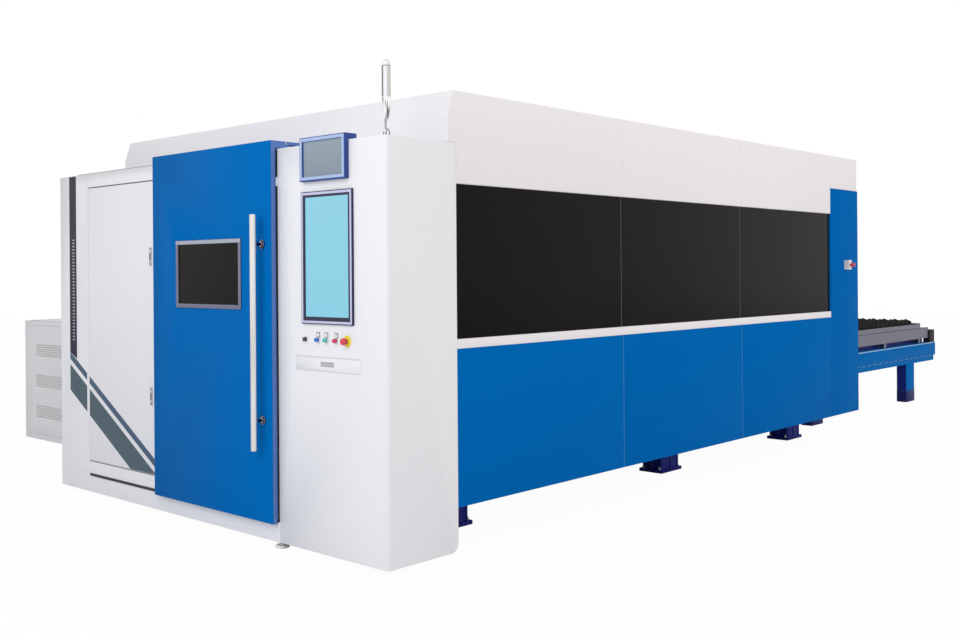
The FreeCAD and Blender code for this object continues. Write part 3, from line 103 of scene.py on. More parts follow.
# ---------------------------------------------------------------- the studio
# A pale floor runs out to a white surround, as in a cut-out studio picture. The light is soft and even,
# with a broad lamp over the operator end, so the paint is a little brighter towards the roof.

def linear(code):
    """An sRGB hex colour as the linear red, green, blue and alpha that shaders take."""
    share = np.array([int(code[i:i + 2], 16) for i in (1, 3, 5)]) / 255
    share = np.where(share <= 0.04045, share / 12.92, ((share + 0.055) / 1.055) ** 2.4)
    return (*share.tolist(), 1.0)


def add(tree, kind, values=None, links=None, **settings):
    """Add one node with its settings, the values of its sockets, and the links that come into it."""
    item = tree.nodes.new(kind)
    for name, value in settings.items():
        setattr(item, name, value)
    for socket, value in (values or {}).items():
        item.inputs[socket].default_value = value
    for socket, source in (links or {}).items():
        tree.links.new(source, item.inputs[socket])
    return item


def seen_directly(tree):
    """1 for rays from the camera, from glossy surfaces and through glass, 0 for the light they gather."""
    path = add(tree, "ShaderNodeLightPath")
    first = add(tree, "ShaderNodeMath", operation="MAXIMUM",
                links={0: path.outputs["Is Camera Ray"], 1: path.outputs["Is Glossy Ray"]})
    return add(tree, "ShaderNodeMath", operation="MAXIMUM",
               links={0: first.outputs[0], 1: path.outputs["Is Transmission Ray"]}).outputs[0]


white = linear("#FFFFFF")
surround_light = 0.66
world = bpy.data.worlds.new("studio")
bpy.context.scene.world = world
world.use_nodes = True
tree = world.node_tree
tree.nodes.clear()
shown = add(tree, "ShaderNodeBackground", {"Color": white, "Strength": 1.0}).outputs[0]
given = add(tree, "ShaderNodeBackground", {"Color": white, "Strength": surround_light}).outputs[0]
mixed = add(tree, "ShaderNodeMixShader", links={0: seen_directly(tree), 1: given, 2: shown}).outputs[0]
add(tree, "ShaderNodeOutputWorld", links={"Surface": mixed})

floor_half = 30
floor_whiteness = 0.97
floor_corners = [(-floor_half, -floor_half, 0), (floor_half, -floor_half, 0),
                 (floor_half, floor_half, 0), (-floor_half, floor_half, 0)]
floor_mesh = bpy.data.meshes.new("floor")
floor_mesh.from_pydata(floor_corners, [], [(0, 1, 2, 3)])
floor = bpy.data.objects.new("floor", floor_mesh)
bpy.context.scene.collection.objects.link(floor)
floor_paint = bpy.data.materials.new("pale_floor")
floor_paint.use_nodes = True
tree = floor_paint.node_tree
tree.nodes.clear()
shadowed = add(tree, "ShaderNodeBsdfDiffuse", {"Color": linear("#EDEDEF")}).outputs[0]
glowing = add(tree, "ShaderNodeEmission", {"Color": white, "Strength": 1.0}).outputs[0]
camera_sees = add(tree, "ShaderNodeLightPath").outputs["Is Camera Ray"]
share = add(tree, "ShaderNodeMath", {1: floor_whiteness}, {0: camera_sees}, operation="MULTIPLY").outputs[0]
mixed = add(tree, "ShaderNodeMixShader", links={0: share, 1: shadowed, 2: glowing}).outputs[0]
add(tree, "ShaderNodeOutputMaterial", links={"Surface": mixed})
floor_mesh.materials.append(floor_paint)

for name, place, aim, width, power, tint in (
        ("lamp_over_operator_end", at(-4200, -300, 3900), at(0, 900, 1100), 4.0, 138, "#FFFFFF"),
        ("lamp_beside_machine", at(4000, -6500, 4300), at(3600, 0, 1200), 6.0, 185, "#FFF1E4"),
        ("lamp_beyond_table", at(11500, 3500, 6000), at(6000, 1700, 1500), 5.0, 135, "#F6FAFF")):
    light = bpy.data.lights.new(name, "AREA")
    light.shape = "SQUARE"
    light.size = width
    light.energy = power
    light.color = linear(tint)[:3]
    lamp = bpy.data.objects.new(name, light)
    lamp.location = place
    lamp.rotation_euler = (aim - place).to_track_quat("-Z", "Y").to_euler()
    lamp.visible_glossy = False
    bpy.context.scene.collection.objects.link(lamp)


# ---------------------------------------------------------------- feet and anchor bolts
# Six welded box feet carry the bed. Each is steel in navy powder coat on a base plate, held to the floor
# with four hexagon-headed anchor bolts. The operator end stands on six pads of pale moulded nylon.


def started(name):
    """A new material: itself, its node tree, its main shader and the object's own coordinates."""
    material = bpy.data.materials.new(name)
    material.use_nodes = True
    tree = material.node_tree
    place = add(tree, "ShaderNodeTexCoord").outputs["Object"]
    return material, tree, tree.nodes["Principled BSDF"], place


def noise(tree, place, scale, detail):
    """Cloudy noise from 0 to 1, with so many clouds to the metre."""
    texture = add(tree, "ShaderNodeTexNoise", {"Scale": scale, "Detail": detail}, {"Vector": place})
    return texture.outputs["Fac"]


def blend(tree, share, first, second):
    """A colour that goes from the first to the second as the share goes from 0 to 1."""
    return add(tree, "ShaderNodeMix", {6: first, 7: second}, {0: share}, data_type="RGBA").outputs[2]


def stretched(tree, value, start, end, low=0.0, high=1.0):
    """A value between start and end, stretched to run from low to high and held at both."""
    limits = {"From Min": start, "From Max": end, "To Min": low, "To Max": high}
    return add(tree, "ShaderNodeMapRange", limits, {"Value": value}).outputs["Result"]


def bumped(tree, shader, height, strength, distance):
    """Tilt a shader's normals by a height that is never in the mesh."""
    bump = add(tree, "ShaderNodeBump", {"Strength": strength, "Distance": distance}, {"Height": height})
    tree.links.new(bump.outputs["Normal"], shader.inputs["Normal"])


def powder_coat(name, colour, shade, roughness, gloss=0.3):
    """Stoved powder coat on sheet steel: a slow drift in tone, a satin sheen and fine orange peel.
    The peel is 3 mm across on the real sheet and is drawn at 9 mm, so that it shows at this distance."""
    material, tree, paint, place = started(name)
    tone = blend(tree, noise(tree, place, 0.7, 1.0), linear(colour), linear(shade))
    tree.links.new(tone, paint.inputs["Base Color"])
    sheen = stretched(tree, noise(tree, place, 2.6, 3.0), 0, 1, roughness - 0.05, roughness + 0.05)
    tree.links.new(sheen, paint.inputs["Roughness"])
    bumped(tree, paint, noise(tree, place, 1000 / 9, 1.0), 0.035, 0.002)
    paint.inputs["Specular IOR Level"].default_value = gloss
    return material


def softened(node, width, material, steps=2):
    """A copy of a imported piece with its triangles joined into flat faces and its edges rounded.
    It stands for the piece and moves with the same body. The width is the rounding in millimetres."""
    source = frame["nodes"][node]
    shape = bmesh.new()
    shape.from_mesh(source.data)
    bmesh.ops.remove_doubles(shape, verts=shape.verts, dist=0.00002)
    bmesh.ops.dissolve_limit(shape, angle_limit=math.radians(1), verts=shape.verts, edges=shape.edges)
    mesh = bpy.data.meshes.new(node + "_skin")
    shape.to_mesh(mesh)
    shape.free()
    mesh.shade_smooth()
    mesh.materials.append(material)
    piece = bpy.data.objects.new(node + "_skin", mesh)
    bpy.context.scene.collection.objects.link(piece)
    bevel = piece.modifiers.new("edges", "BEVEL")
    bevel.width = width / 1000
    bevel.segments = steps
    bevel.limit_method = "ANGLE"
    bevel.angle_limit = math.radians(32)
    bevel.use_clamp_overlap = False
    bevel.harden_normals = True
    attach(piece, source["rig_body"])
    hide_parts(node)
    return piece


def surface(name, grids, material, body, smooth=True):
    """One piece from grids of points. A grid's rows follow the path and its columns go round a closed
    profile. Neighbours are joined by four-sided faces and both ends are closed by one face each."""
    points, faces = [], []
    start = 0
    for grid in grids:
        rows, columns = grid.shape[:2]
        points.append(grid.reshape(-1, 3))
        row, column = np.meshgrid(np.arange(rows - 1), np.arange(columns), indexing="ij")
        after = (column + 1) % columns
        quads = np.stack([row * columns + column, row * columns + after,
                          (row + 1) * columns + after, (row + 1) * columns + column], axis=-1).reshape(-1, 4)
        faces += (quads + start).tolist()
        faces.append((np.arange(columns)[::-1] + start).tolist())
        faces.append((np.arange(columns) + start + (rows - 1) * columns).tolist())
        start += rows * columns
    mesh = bpy.data.meshes.new(name)
    mesh.from_pydata(np.concatenate(points).tolist(), [], faces)
    shape = bmesh.new()
    shape.from_mesh(mesh)
    bmesh.ops.recalc_face_normals(shape, faces=shape.faces)
    shape.to_mesh(mesh)
    shape.free()
    if smooth:
        mesh.shade_smooth()
        mesh.set_sharp_from_angle(angle=math.radians(35))
    mesh.materials.append(material)
    piece = bpy.data.objects.new(name, mesh)
    bpy.context.scene.collection.objects.link(piece)
    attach(piece, body)
    return piece


def bar(outline, start, end):
    """A straight bar along x, y or z: point = end of the bar + p · one other axis + q · the other one.
    The outline's p and q are in millimetres, in the order of the axes, and the ends are in metres."""
    ends = np.array([tuple(start), tuple(end)])
    lengthwise = np.argmax(np.abs(ends[1] - ends[0]))
    flat = np.insert(np.asarray(outline, float) / 1000, lengthwise, 0, axis=1)
    return ends[:, None, :] + flat[None, :, :]


def spun(profile, centre, axis, steps=32):
    """A profile of radius and height in millimetres, spun round an axis through a centre in metres:
    point = centre + axis · height + radius · (first · cos a + second · sin a)."""
    profile = np.asarray(profile, float) / 1000
    axis = Vector(axis).normalized()
    first = axis.orthogonal().normalized()
    second = axis.cross(first)
    angle = np.arange(steps) * 2 * math.pi / steps
    ring = np.cos(angle)[:, None] * np.array(first) + np.sin(angle)[:, None] * np.array(second)
    return (np.array(centre) + profile[:, 1, None, None] * np.array(axis)
            + profile[:, 0, None, None] * ring[None, :, :])


def rounded_box(width, height, radius, steps=3):
    """Outline of a rectangle with rounded corners, from its middle: each corner is a quarter circle."""
    angle = np.linspace(0, math.pi / 2, steps + 1)
    parts = []
    for i, (side, top) in enumerate(((1, 1), (-1, 1), (-1, -1), (1, -1))):
        turned = angle + i * math.pi / 2
        parts.append(np.stack([side * (width / 2 - radius) + radius * np.cos(turned),
                               top * (height / 2 - radius) + radius * np.sin(turned)], axis=-1))
    return np.concatenate(parts)


upwards, to_operator, to_near_side = (0, 0, 1), (-1, 0, 0), (0, -1, 0)
navy_coat = powder_coat("powder_coat_navy", "#2E359A", "#252B88", 0.42, 0.12)
feet = softened("machine_feet", 2.0, navy_coat)
pale_nylon = powder_coat("moulded_nylon_pale", "#F0F0F2", "#EAEAED", 0.5)
feet.data.materials.append(pale_nylon)
pads_end = at(600, 0, 0).x
for face in feet.data.polygons:
    face.material_index = int(face.center.x < pads_end)


def brushed_metal(name, colour, shade, roughness, stretch):
    """Ground or brushed metal. The grain is noise that shifts both tone and gloss. Where one value of the
    stretch is small, it is drawn out along that axis, in lines 1 to 3 mm wide for the real 0.1 mm ones."""
    material, tree, metal, place = started(name)
    drawn = add(tree, "ShaderNodeMapping", {"Scale": stretch}, {"Vector": place}).outputs[0]
    grain = noise(tree, drawn, 400.0, 2.0)
    tree.links.new(blend(tree, grain, linear(colour), linear(shade)), metal.inputs["Base Color"])
    gloss = stretched(tree, grain, 0, 1, roughness - 0.07, roughness + 0.07)
    tree.links.new(gloss, metal.inputs["Roughness"])
    metal.inputs["Metallic"].default_value = 1.0
    return material


foot_mounts = [mount for mount in frame["record"]["mounts"] if mount["kind"] == "bolt_pattern"]
column_along, column_across, column_top, plate_top = 216, 170, 200, 25
rib_stand, rib_shares = 4, (-0.47, 0, 0.47)
across_rib, along_rib = rounded_box(7, 10, 1.5, 2), rounded_box(10, 7, 1.5, 2)
rib_grids, bolt_grids = [], []
for mount in foot_mounts:
    centre = Vector((mount["pos_m"][0], mount["pos_m"][1], 0))
    for side in (-1, 1):
        for share in rib_shares:
            beside = (share * column_along, side * (column_across / 2 + rib_stand))
            before = (side * (column_along / 2 + rib_stand), share * column_across)
            for outline, (aside, away) in ((across_rib, beside), (along_rib, before)):
                foot = centre + Vector((aside, away, plate_top)) / 1000
                rib_grids.append(bar(outline, foot, centre + Vector((aside, away, column_top)) / 1000))
    pitch_along, pitch_across = mount["dims"]["spacing_x_mm"], mount["dims"]["spacing_y_mm"]
    for side in (-1, 1):
        for end in (-1, 1):
            place = centre + Vector((side * pitch_along, end * pitch_across, 0)) / 2000
            washer = [(14.8, plate_top), (14.8, plate_top + 3)]
            nut = [(12.5, plate_top + 3), (12.5, plate_top + 12), (11, plate_top + 14)]
            thread = [(6, plate_top + 14), (6, plate_top + 22), (5, plate_top + 23)]
            bolt_grids.append(spun(washer, place, upwards, 24))
            bolt_grids.append(spun(nut, place, upwards, 6))
            bolt_grids.append(spun(thread, place, upwards, 12))
# The ribs are painted a lighter navy than the feet they stand on: a painted highlight where light catches
# them.
rib_navy_highlight = powder_coat("navy_ribs_painted_highlight", "#4450B8", "#3A45A8", 0.42, 0.2)
surface("foot_ribs", rib_grids, rib_navy_highlight, "machine")
zinc = brushed_metal("zinc_plated_bolts", "#C9CBD0", "#A8ABB2", 0.35, (1, 1, 1))
surface("anchor_bolts", bolt_grids, zinc, "machine", smooth=False)


# ---------------------------------------------------------------- bed, rails and racks
# The bed is a stress-relieved weldment in the machine's blue. Its ground rails and gear racks are bare
# steel under a film of oil.

blue_coat = powder_coat("powder_coat_blue", "#0065B0", "#005FAA", 0.42, 0.005)
softened("bed_frame", 2.0, blue_coat)
ground_steel = brushed_metal("ground_steel_oiled", "#B4B6B8", "#8E9194", 0.28, (0.02, 1, 1))


def dress(node, material):
    """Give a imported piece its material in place."""
    piece = frame["nodes"][node]
    if not piece.material_slots:
        piece.data.materials.append(None)
    for slot in piece.material_slots:
        slot.material = material


dress("gantry_rails", ground_steel)
dress("gantry_racks", ground_steel)


# ---------------------------------------------------------------- side panels and windows
# Three folded blue panels hang on each side under a white sill rail, with dark laser safety glass above.
# The seams between them show as thin pale lines.

white_coat = powder_coat("powder_coat_white", "#E8E6EA", "#E4E2E7", 0.42)
dress("side_frames", white_coat)
side_blue = powder_coat("powder_coat_side_blue", "#0066B2", "#0062AE", 0.42, 0.004)
for i in (1, 2, 3):
    softened(f"near_lower_panel_{i}", 1.8, side_blue)
softened("far_lower_panels", 1.8, side_blue)
softened("near_sill_rail", 2.0, white_coat)
softened("far_sill_rail", 2.0, white_coat)


def safety_glass(name, ior):
    """Laser safety glass: a smoke-tinted acrylic sheet, hard coated against glare, so its mirror image is
    faint straight on and grows towards grazing angles. The coat is matt, so what it mirrors is blurred."""
    material, tree, pane, place = started(name)
    tone = blend(tree, noise(tree, place, 1.4, 3.0), linear("#090A09"), linear("#151512"))
    tree.links.new(tone, pane.inputs["Base Color"])
    bumped(tree, pane, noise(tree, place, 1.1, 0.0), 0.01, 0.01)
    pane.inputs["Roughness"].default_value = 0.18
    pane.inputs["IOR"].default_value = ior
    return material


side_glass = safety_glass("safety_glass_smoke", 1.15)
for i in (1, 2, 3):
    dress(f"near_window_{i}", side_glass)
dress("far_windows", side_glass)

end_depth, panel_pitch = 513, 1550
seams = [end_depth + panel_pitch, end_depth + 2 * panel_pitch]
machine_width = (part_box("far_lower_panels")[1].y - corner.y) * 1000
panel_foot, panel_head, glass_foot, glass_head, glass_face = 283, 1131, 1186, 2020, 15
filler, filler_sink = rounded_box(3.4, 4, 0.8, 2), 2.2
panel_grids, window_grids = [], []
for seam in seams:
    for face, inward in ((0, 1), (machine_width, -1)):
        line = face + inward * filler_sink
        panel_grids.append(bar(filler, at(seam, line, panel_foot), at(seam, line, panel_head)))
        line = face + inward * (glass_face + filler_sink)
        window_grids.append(bar(filler, at(seam, line, glass_foot), at(seam, line, glass_head)))
blue_filler = powder_coat("seam_filler_pale_blue", "#5C93C8", "#4F88C0", 0.5)
grey_filler = powder_coat("seam_filler_grey", "#8B8B88", "#7C7C7A", 0.5)
surface("panel_seams", panel_grids, blue_filler, "machine")
surface("window_seams", window_grids, grey_filler, "machine")


# ---------------------------------------------------------------- roof hood
# The hood is folded sheet in powder-coated white, in three lengths that butt at the side seams. Its last
# length runs on over the rear columns and rests on them, 340 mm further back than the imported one.

hood = softened("roof_hood", 6.0, white_coat, steps=3)
hood_rear, hood_run_on = 5300, 340
points = np.empty(3 * len(hood.data.vertices))
hood.data.vertices.foreach_get("co", points)
points = points.reshape(-1, 3)
points[:, 0] += np.where(points[:, 0] > at(hood_rear, 0, 0).x, hood_run_on / 1000, 0)
hood.data.vertices.foreach_set("co", points.ravel())
hood_foot, hood_top, hood_fold = 2024, 2521, 8
joint_outline, joint_proud = rounded_box(2.2, 0.6, 0.25, 1), 0.1
joint_grids = []
for seam in seams:
    for face in (-joint_proud, machine_width + joint_proud):
        low, high = at(seam, face, hood_foot), at(seam, face, hood_top - hood_fold)
        joint_grids.append(bar(joint_outline, low, high))
    roof = hood_top + joint_proud
    near_fold, far_fold = at(seam, hood_fold, roof), at(seam, machine_width - hood_fold, roof)
    joint_grids.append(bar(joint_outline, near_fold, far_fold))
joint_paint = powder_coat("hood_joint_shade", "#CFCFD2", "#C8C8CC", 0.5)
surface("hood_joints", joint_grids, joint_paint, "machine")


# ---------------------------------------------------------------- operator end
# The end is a white folded housing with a free-standing console corner. A dark louvre film with a row of
# pale dashes and two slate stripes are stuck on its outer bay.

end_white = powder_coat("powder_coat_end_white", "#E5E6EA", "#E0E1E6", 0.38)
softened("end_housing", 3.0, end_white)
softened("console_housing", 4.0, end_white, steps=3)


def film(name, outlines, thickness, material, body):
    """Flat films on the operator end's face: each outline of (across, up) in millimetres is given its
    thickness outwards, away from the machine."""
    grids = [bar(outline, at(0, 0, 0), at(-thickness, 0, 0)) for outline in outlines]
    return surface(name, grids, material, body, smooth=False)


def vinyl(name, colour, shade, roughness):
    """Printed vinyl film: even colour with a satin coat and a faint cloudiness where it was laid by hand."""
    material, tree, sheet, place = started(name)
    tone = blend(tree, noise(tree, place, 3.0, 2.0), linear(colour), linear(shade))
    tree.links.new(tone, sheet.inputs["Base Color"])
    sheet.inputs["Roughness"].default_value = roughness
    sheet.inputs["Specular IOR Level"].default_value = 0.12
    return material


def rectangle(near, far, foot, head):
    """The four corners of an upright rectangle, as (across, up)."""
    return [(near, foot), (near, head), (far, head), (far, foot)]


strip_near, strip_far, strip_low, strip_high = 3206, 3304, 1000, 2236
stripe_fall = 0.572


def falling(height, across):
    """Height of a stripe's edge that has a given height at the film's far side and falls to the console."""
    return height - stripe_fall * (strip_far - across)


def stripe(low, high, near, far):
    """The four corners of a falling stripe between two places across, from its heights at the far side."""
    return [(near, falling(low, near)), (near, falling(high, near)), (far, falling(high, far)),
            (far, falling(low, far))]


end_far, skirt_seam, bay_seam, seam_open = 3450, 176, 3040, 2
# The grey films along the end's sheet seams are painted shade of the seam grooves.
seam_shade = vinyl("sheet_seam_painted_shade", "#CDD0D7", "#C7CAD2", 0.5)
film("end_sheet_seams", [rectangle(bay_seam + seam_open, end_far, skirt_seam, skirt_seam + 2.5),
                         rectangle(bay_seam, bay_seam + seam_open, skirt_seam + 2.5, strip_high)],
     0.3, seam_shade, "machine")
dark_film = vinyl("vinyl_dark", "#211F30", "#2D2B40", 0.22)
film("louvre_film", [[(strip_far, strip_low), (strip_far, strip_high), (strip_near, strip_high),
                      (strip_near, falling(strip_low, strip_near) + 10)]],
     0.5, dark_film, "machine")
dash_near, dash_far, dash_first, dash_height, dash_pitch, dash_count = 3234, 3262, 1084, 8, 22.6, 32
dash_feet = dash_first + dash_pitch * np.arange(dash_count)
film("louvre_dashes", [rectangle(dash_near, dash_far, foot, foot + dash_height) for foot in dash_feet],
     0.9, vinyl("vinyl_pale", "#A9AFB8", "#B4BAC2", 0.4), "machine")
thin_low, thin_high, thick_low, thick_high, bay_near = 950, 1000, 731, 911, 3064
slate = vinyl("vinyl_slate", "#4A5C66", "#50636C", 0.30)
steel_blue = vinyl("vinyl_steel_blue", "#445A74", "#4C6076", 0.30)
film("thin_stripe_bay", [stripe(thin_low, thin_high, bay_near, strip_far)], 0.5, steel_blue, "machine")
film("thick_stripe_bay", [stripe(thick_low, thick_high, bay_near, strip_far)], 0.5, slate, "machine")


# ---------------------------------------------------------------- service door
# A flush white door closes the electrics bay. The two stripes run on over it, and two slim turning latches
# stand at its near edge.

softened("service_door", 1.5, end_white)
gap_shade = vinyl("gap_shadow", "#5A5C62", "#64666C", 0.6)
bay_low, bay_high, opening_near, opening_far, gap_open = 260, 2144, 2180, 3036, 4
film("service_door_gaps", [rectangle(opening_near, opening_far, bay_low - gap_open, bay_low),
                           rectangle(opening_near, opening_far, bay_high, bay_high + gap_open)],
     0.3, gap_shade, "machine")
leaf_near, leaf_far, leaf_low = 2186, 3028, 265
film("thin_stripe_door", [stripe(thin_low, thin_high, leaf_near, leaf_far)], 0.5, steel_blue,
     "service_door")
foot_reached = strip_far - (thick_low - leaf_low) / stripe_fall
clipped_stripe = [(leaf_far, falling(thick_low, leaf_far)), (leaf_far, falling(thick_high, leaf_far)),
                  (leaf_near, falling(thick_high, leaf_near)), (leaf_near, leaf_low),
                  (foot_reached, leaf_low)]
film("thick_stripe_door", [clipped_stripe], 0.5, slate, "service_door")
latch_chrome = brushed_metal("chromed_zinc", "#D5D6DA", "#C2C4CA", 0.22, (1, 1, 0.05))
black_abs = powder_coat("moulded_abs_black", "#1B1B20", "#232329", 0.45)
latch_face, latch_side, lock_profile = -6, 2220, [(5, 0), (5, 1.2), (4, 1.6)]
for name, low in (("lower", 702), ("upper", 1599)):
    softened(f"{name}_latch", 2.0, latch_chrome)
    locks = [at(latch_face, latch_side, low + rise) for rise in (14, 109)]
    marks = [spun(lock_profile, lock, to_operator, 20) for lock in locks]
    marks.append(bar(rounded_box(9, 44, 3), at(latch_face, latch_side, low + 60),
                     at(latch_face - 1.4, latch_side, low + 60)))
    surface(f"{name}_latch_marks", marks, black_abs, f"{name}_latch")
grey_coat = powder_coat("powder_coat_grey", "#9A9DA2", "#919499", 0.45)
softened("electrics_panel", 2.0, grey_coat)


# ---------------------------------------------------------------- sliding door
# The blue door is a folded pan that hangs from a roof track. It has an aluminium-framed window of dark
# glass and a long stainless tube for a handle.

door_blue = powder_coat("powder_coat_door_blue", "#0067B2", "#0061AA", 0.40, 0.012)
softened("door_panel", 1.2, door_blue)
door_front, door_back, door_edge, door_foot = -39, -12, 893, 156
channel_end, channel_low, channel_high = 197, 2247, 2282
notch_front, notch_back, notch_top = 85, 135, 2268
edge_strip = [(door_front, door_foot), (door_back, door_foot), (door_back, channel_low),
              (door_front, channel_low)]
channel_strip = [(door_front, channel_low), (notch_front, channel_low), (notch_front, notch_top),
                 (notch_back, notch_top), (notch_back, channel_low), (channel_end, channel_low),
                 (channel_end, channel_high), (door_front, channel_high)]
strip_sides = (at(0, door_edge - 0.6, 0), at(0, door_edge + 0.1, 0))
# The strips on the door's leading edge and top channel are a lighter violet-blue: a painted sheen where light
# glances off the door's side face.
door_edge_sheen = powder_coat("door_edge_painted_sheen", "#5A7CBE", "#5070B4", 0.35, 0.3)
surface("door_edge_sheen_strip", [bar(edge_strip, *strip_sides), bar(channel_strip, *strip_sides)], door_edge_sheen,
        "sliding_door", smooth=False)
rivet = spun([(6, 0), (6, 1.4), (4, 2.6)], at(65, door_edge, 2275), to_near_side, 16)
surface("channel_rivet", [rivet], zinc, "sliding_door")
# The black strip between the door and the console is painted shadow of the gap between them.
gap_shadow_black = powder_coat("door_gap_painted_shadow", "#14141E", "#1A1A26", 0.6, 0.2)
gap_shadow_bar = bar(rounded_box(6.5, 7, 2), at(-3.6, 888.6, 160), at(-3.6, 888.6, 2236))
surface("door_gap_shadow_strip", [gap_shadow_bar], gap_shadow_black, "machine")
pale_abs = powder_coat("moulded_abs_light", "#D5DAE4", "#CBD1DC", 0.4)
interlock = bar(rounded_box(9.5, 11, 1.5), at(-5, 886, 2031), at(-5, 886, 2080))
surface("door_interlock", [interlock], pale_abs, "machine")
window_alu = brushed_metal("anodised_window_profile", "#8E8DA4", "#7F7E96", 0.42, (1, 0.03, 1))
softened("door_window_frame", 1.5, window_alu)
window_face, window_near, window_far, window_head, trim_height = -49, 1174, 1850, 1748, 21
trim_place = ((window_near + window_far) / 2, window_head - 2 - trim_height / 2)
head_trim = bar(rounded_box(window_far - window_near - 4, trim_height, 1), at(window_face, *trim_place),
                at(window_face - 0.6, *trim_place))
trim_lacquer = powder_coat("lacquered_trim_grey", "#A2A7B4", "#989DAC", 0.4)
surface("window_head_trim", [head_trim], trim_lacquer, "sliding_door")
dress("door_window_glass", safety_glass("safety_glass_door", 1.18))
stainless = brushed_metal("brushed_stainless", "#F6F5F2", "#DCDBD8", 0.30, (1, 1, 0.02))
softened("door_handle", 1.5, stainless)
rosette = [(25, 0.2), (25, 6.5), (21, 9), (13, 9.4)]
standoff_sleeve = [(9.8, 9), (9.8, 44)]
collar = [(13.5, 9), (13.5, 12), (11, 13.5), (10, 13.5)]
rosette_grids, collar_grids = [], []
door_face, handle_side, handle_heights = -42, 975, (725, 1709)
for height in handle_heights:
    place = at(door_face, handle_side, height)
    rosette_grids.append(spun(rosette, place, to_operator, 32))
    rosette_grids.append(spun(standoff_sleeve, place, to_operator, 24))
    collar_grids.append(spun(collar, place, to_operator, 24))
dark_chrome = brushed_metal("black_chrome", "#3A3D68", "#23253F", 0.2, (1, 1, 1))
surface("handle_rosettes", rosette_grids, dark_chrome, "sliding_door")
surface("handle_collars", collar_grids, stainless, "sliding_door")
dress("door_track", ground_steel)
dress("door_guide", black_abs)


# ---------------------------------------------------------------- console
# The console carries a bare lit sign panel, a portrait touch screen, a row of lit push buttons with metal
# bezels, a key switch, an emergency stop on a yellow disc, and a keyboard drawer.

def border(face, proud, near, far, foot, head, sides, low, high):
    """Four bars round a rectangle on a face across the machine: its outer edges, then the width of its sides,
    its foot and its head, all in millimetres. The bars stand proud of the face towards the operator."""
    grids = []
    for y0, y1, z0, z1 in ((near, far, foot, foot + low), (near, far, head - high, head),
                           (near, near + sides, foot + low, head - high),
                           (far - sides, far, foot + low, head - high)):
        middle = ((y0 + y1) / 2, (z0 + z1) / 2)
        grids.append(bar(rounded_box(y1 - y0, z1 - z0, 0.8, 2), at(face, *middle), at(face - proud, *middle)))
    return grids


softened("sign_box", 2.0, powder_coat("powder_coat_sign_blue", "#2A4890", "#243F86", 0.4, 0.3))
sign_frame_paint = powder_coat("sign_frame_pale_blue", "#A6B8DA", "#9AAED4", 0.4)
sign_face, sign_near, sign_far, sign_foot, sign_head = -28, 286, 650, 2044, 2268
surface("sign_frame", border(sign_face, 1.5, sign_near, sign_far, sign_foot, sign_head, 17, 16, 17),
        sign_frame_paint, "machine")


def lit_panel(name, face, low_colour, high_colour, low, high, glow):
    """A back-lit sheet: its own face is dark, and the light through it shifts slowly from foot to head."""
    material, tree, sheet, place = started(name)
    height = add(tree, "ShaderNodeSeparateXYZ", links={0: place}).outputs["Z"]
    rise = stretched(tree, height, low / 1000, high / 1000)
    tone = blend(tree, rise, linear(low_colour), linear(high_colour))
    tree.links.new(tone, sheet.inputs["Emission Color"])
    sheet.inputs["Base Color"].default_value = linear(face)
    sheet.inputs["Emission Strength"].default_value = glow
    sheet.inputs["Roughness"].default_value = 0.2
    sheet.inputs["Specular IOR Level"].default_value = 0.2
    return material


dress("sign_panel", lit_panel("lit_acrylic_grey", "#4A525A", "#7C8894", "#8C9AA6", 2060, 2250, 0.8))
softened("monitor_bezel", 2.0, powder_coat("moulded_abs_navy", "#1F1F48", "#26264F", 0.35))
bezel_silver = powder_coat("bezel_lavender_silver", "#C0C4DE", "#B4B8D4", 0.35)
monitor_face, monitor_near, monitor_far, monitor_foot, monitor_head = -12, 245, 667, 1273, 1983
trim_inset = 5
surface("bezel_trim", border(monitor_face, 1, monitor_near + trim_inset, monitor_far - trim_inset,
                             monitor_foot + trim_inset, monitor_head - trim_inset, 13, 12, 13),
        bezel_silver, "machine")
dress("monitor_screen", lit_panel("lit_touch_screen", "#0C1418", "#8ACFE4", "#90D2E6", 1300, 1960, 0.97))
screen_front = (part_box("monitor_screen")[0].x - corner.x) * 1000
rim_abs = powder_coat("moulded_abs_violet_black", "#2C2740", "#352F4B", 0.35)
surface("screen_surround", border(screen_front, screen_front - monitor_face + 0.8, monitor_near + 18,
                                  monitor_far - 18, monitor_foot + 17, monitor_head - 18, 13, 22, 13),
        rim_abs, "machine")


def lit_plastic(name, colour, roughness=0.25, glow=0.0):
    """Moulded polycarbonate, coloured through. The glow is the light of a lamp behind it."""
    material, tree, cap, place = started(name)
    darker = tuple(value * 0.9 for value in linear(colour)[:3]) + (1.0,)
    tone = blend(tree, noise(tree, place, 60.0, 1.0), linear(colour), darker)
    tree.links.new(tone, cap.inputs["Base Color"])
    cap.inputs["Roughness"].default_value = roughness
    cap.inputs["Emission Color"].default_value = linear(colour)
    cap.inputs["Emission Strength"].default_value = glow
    return material


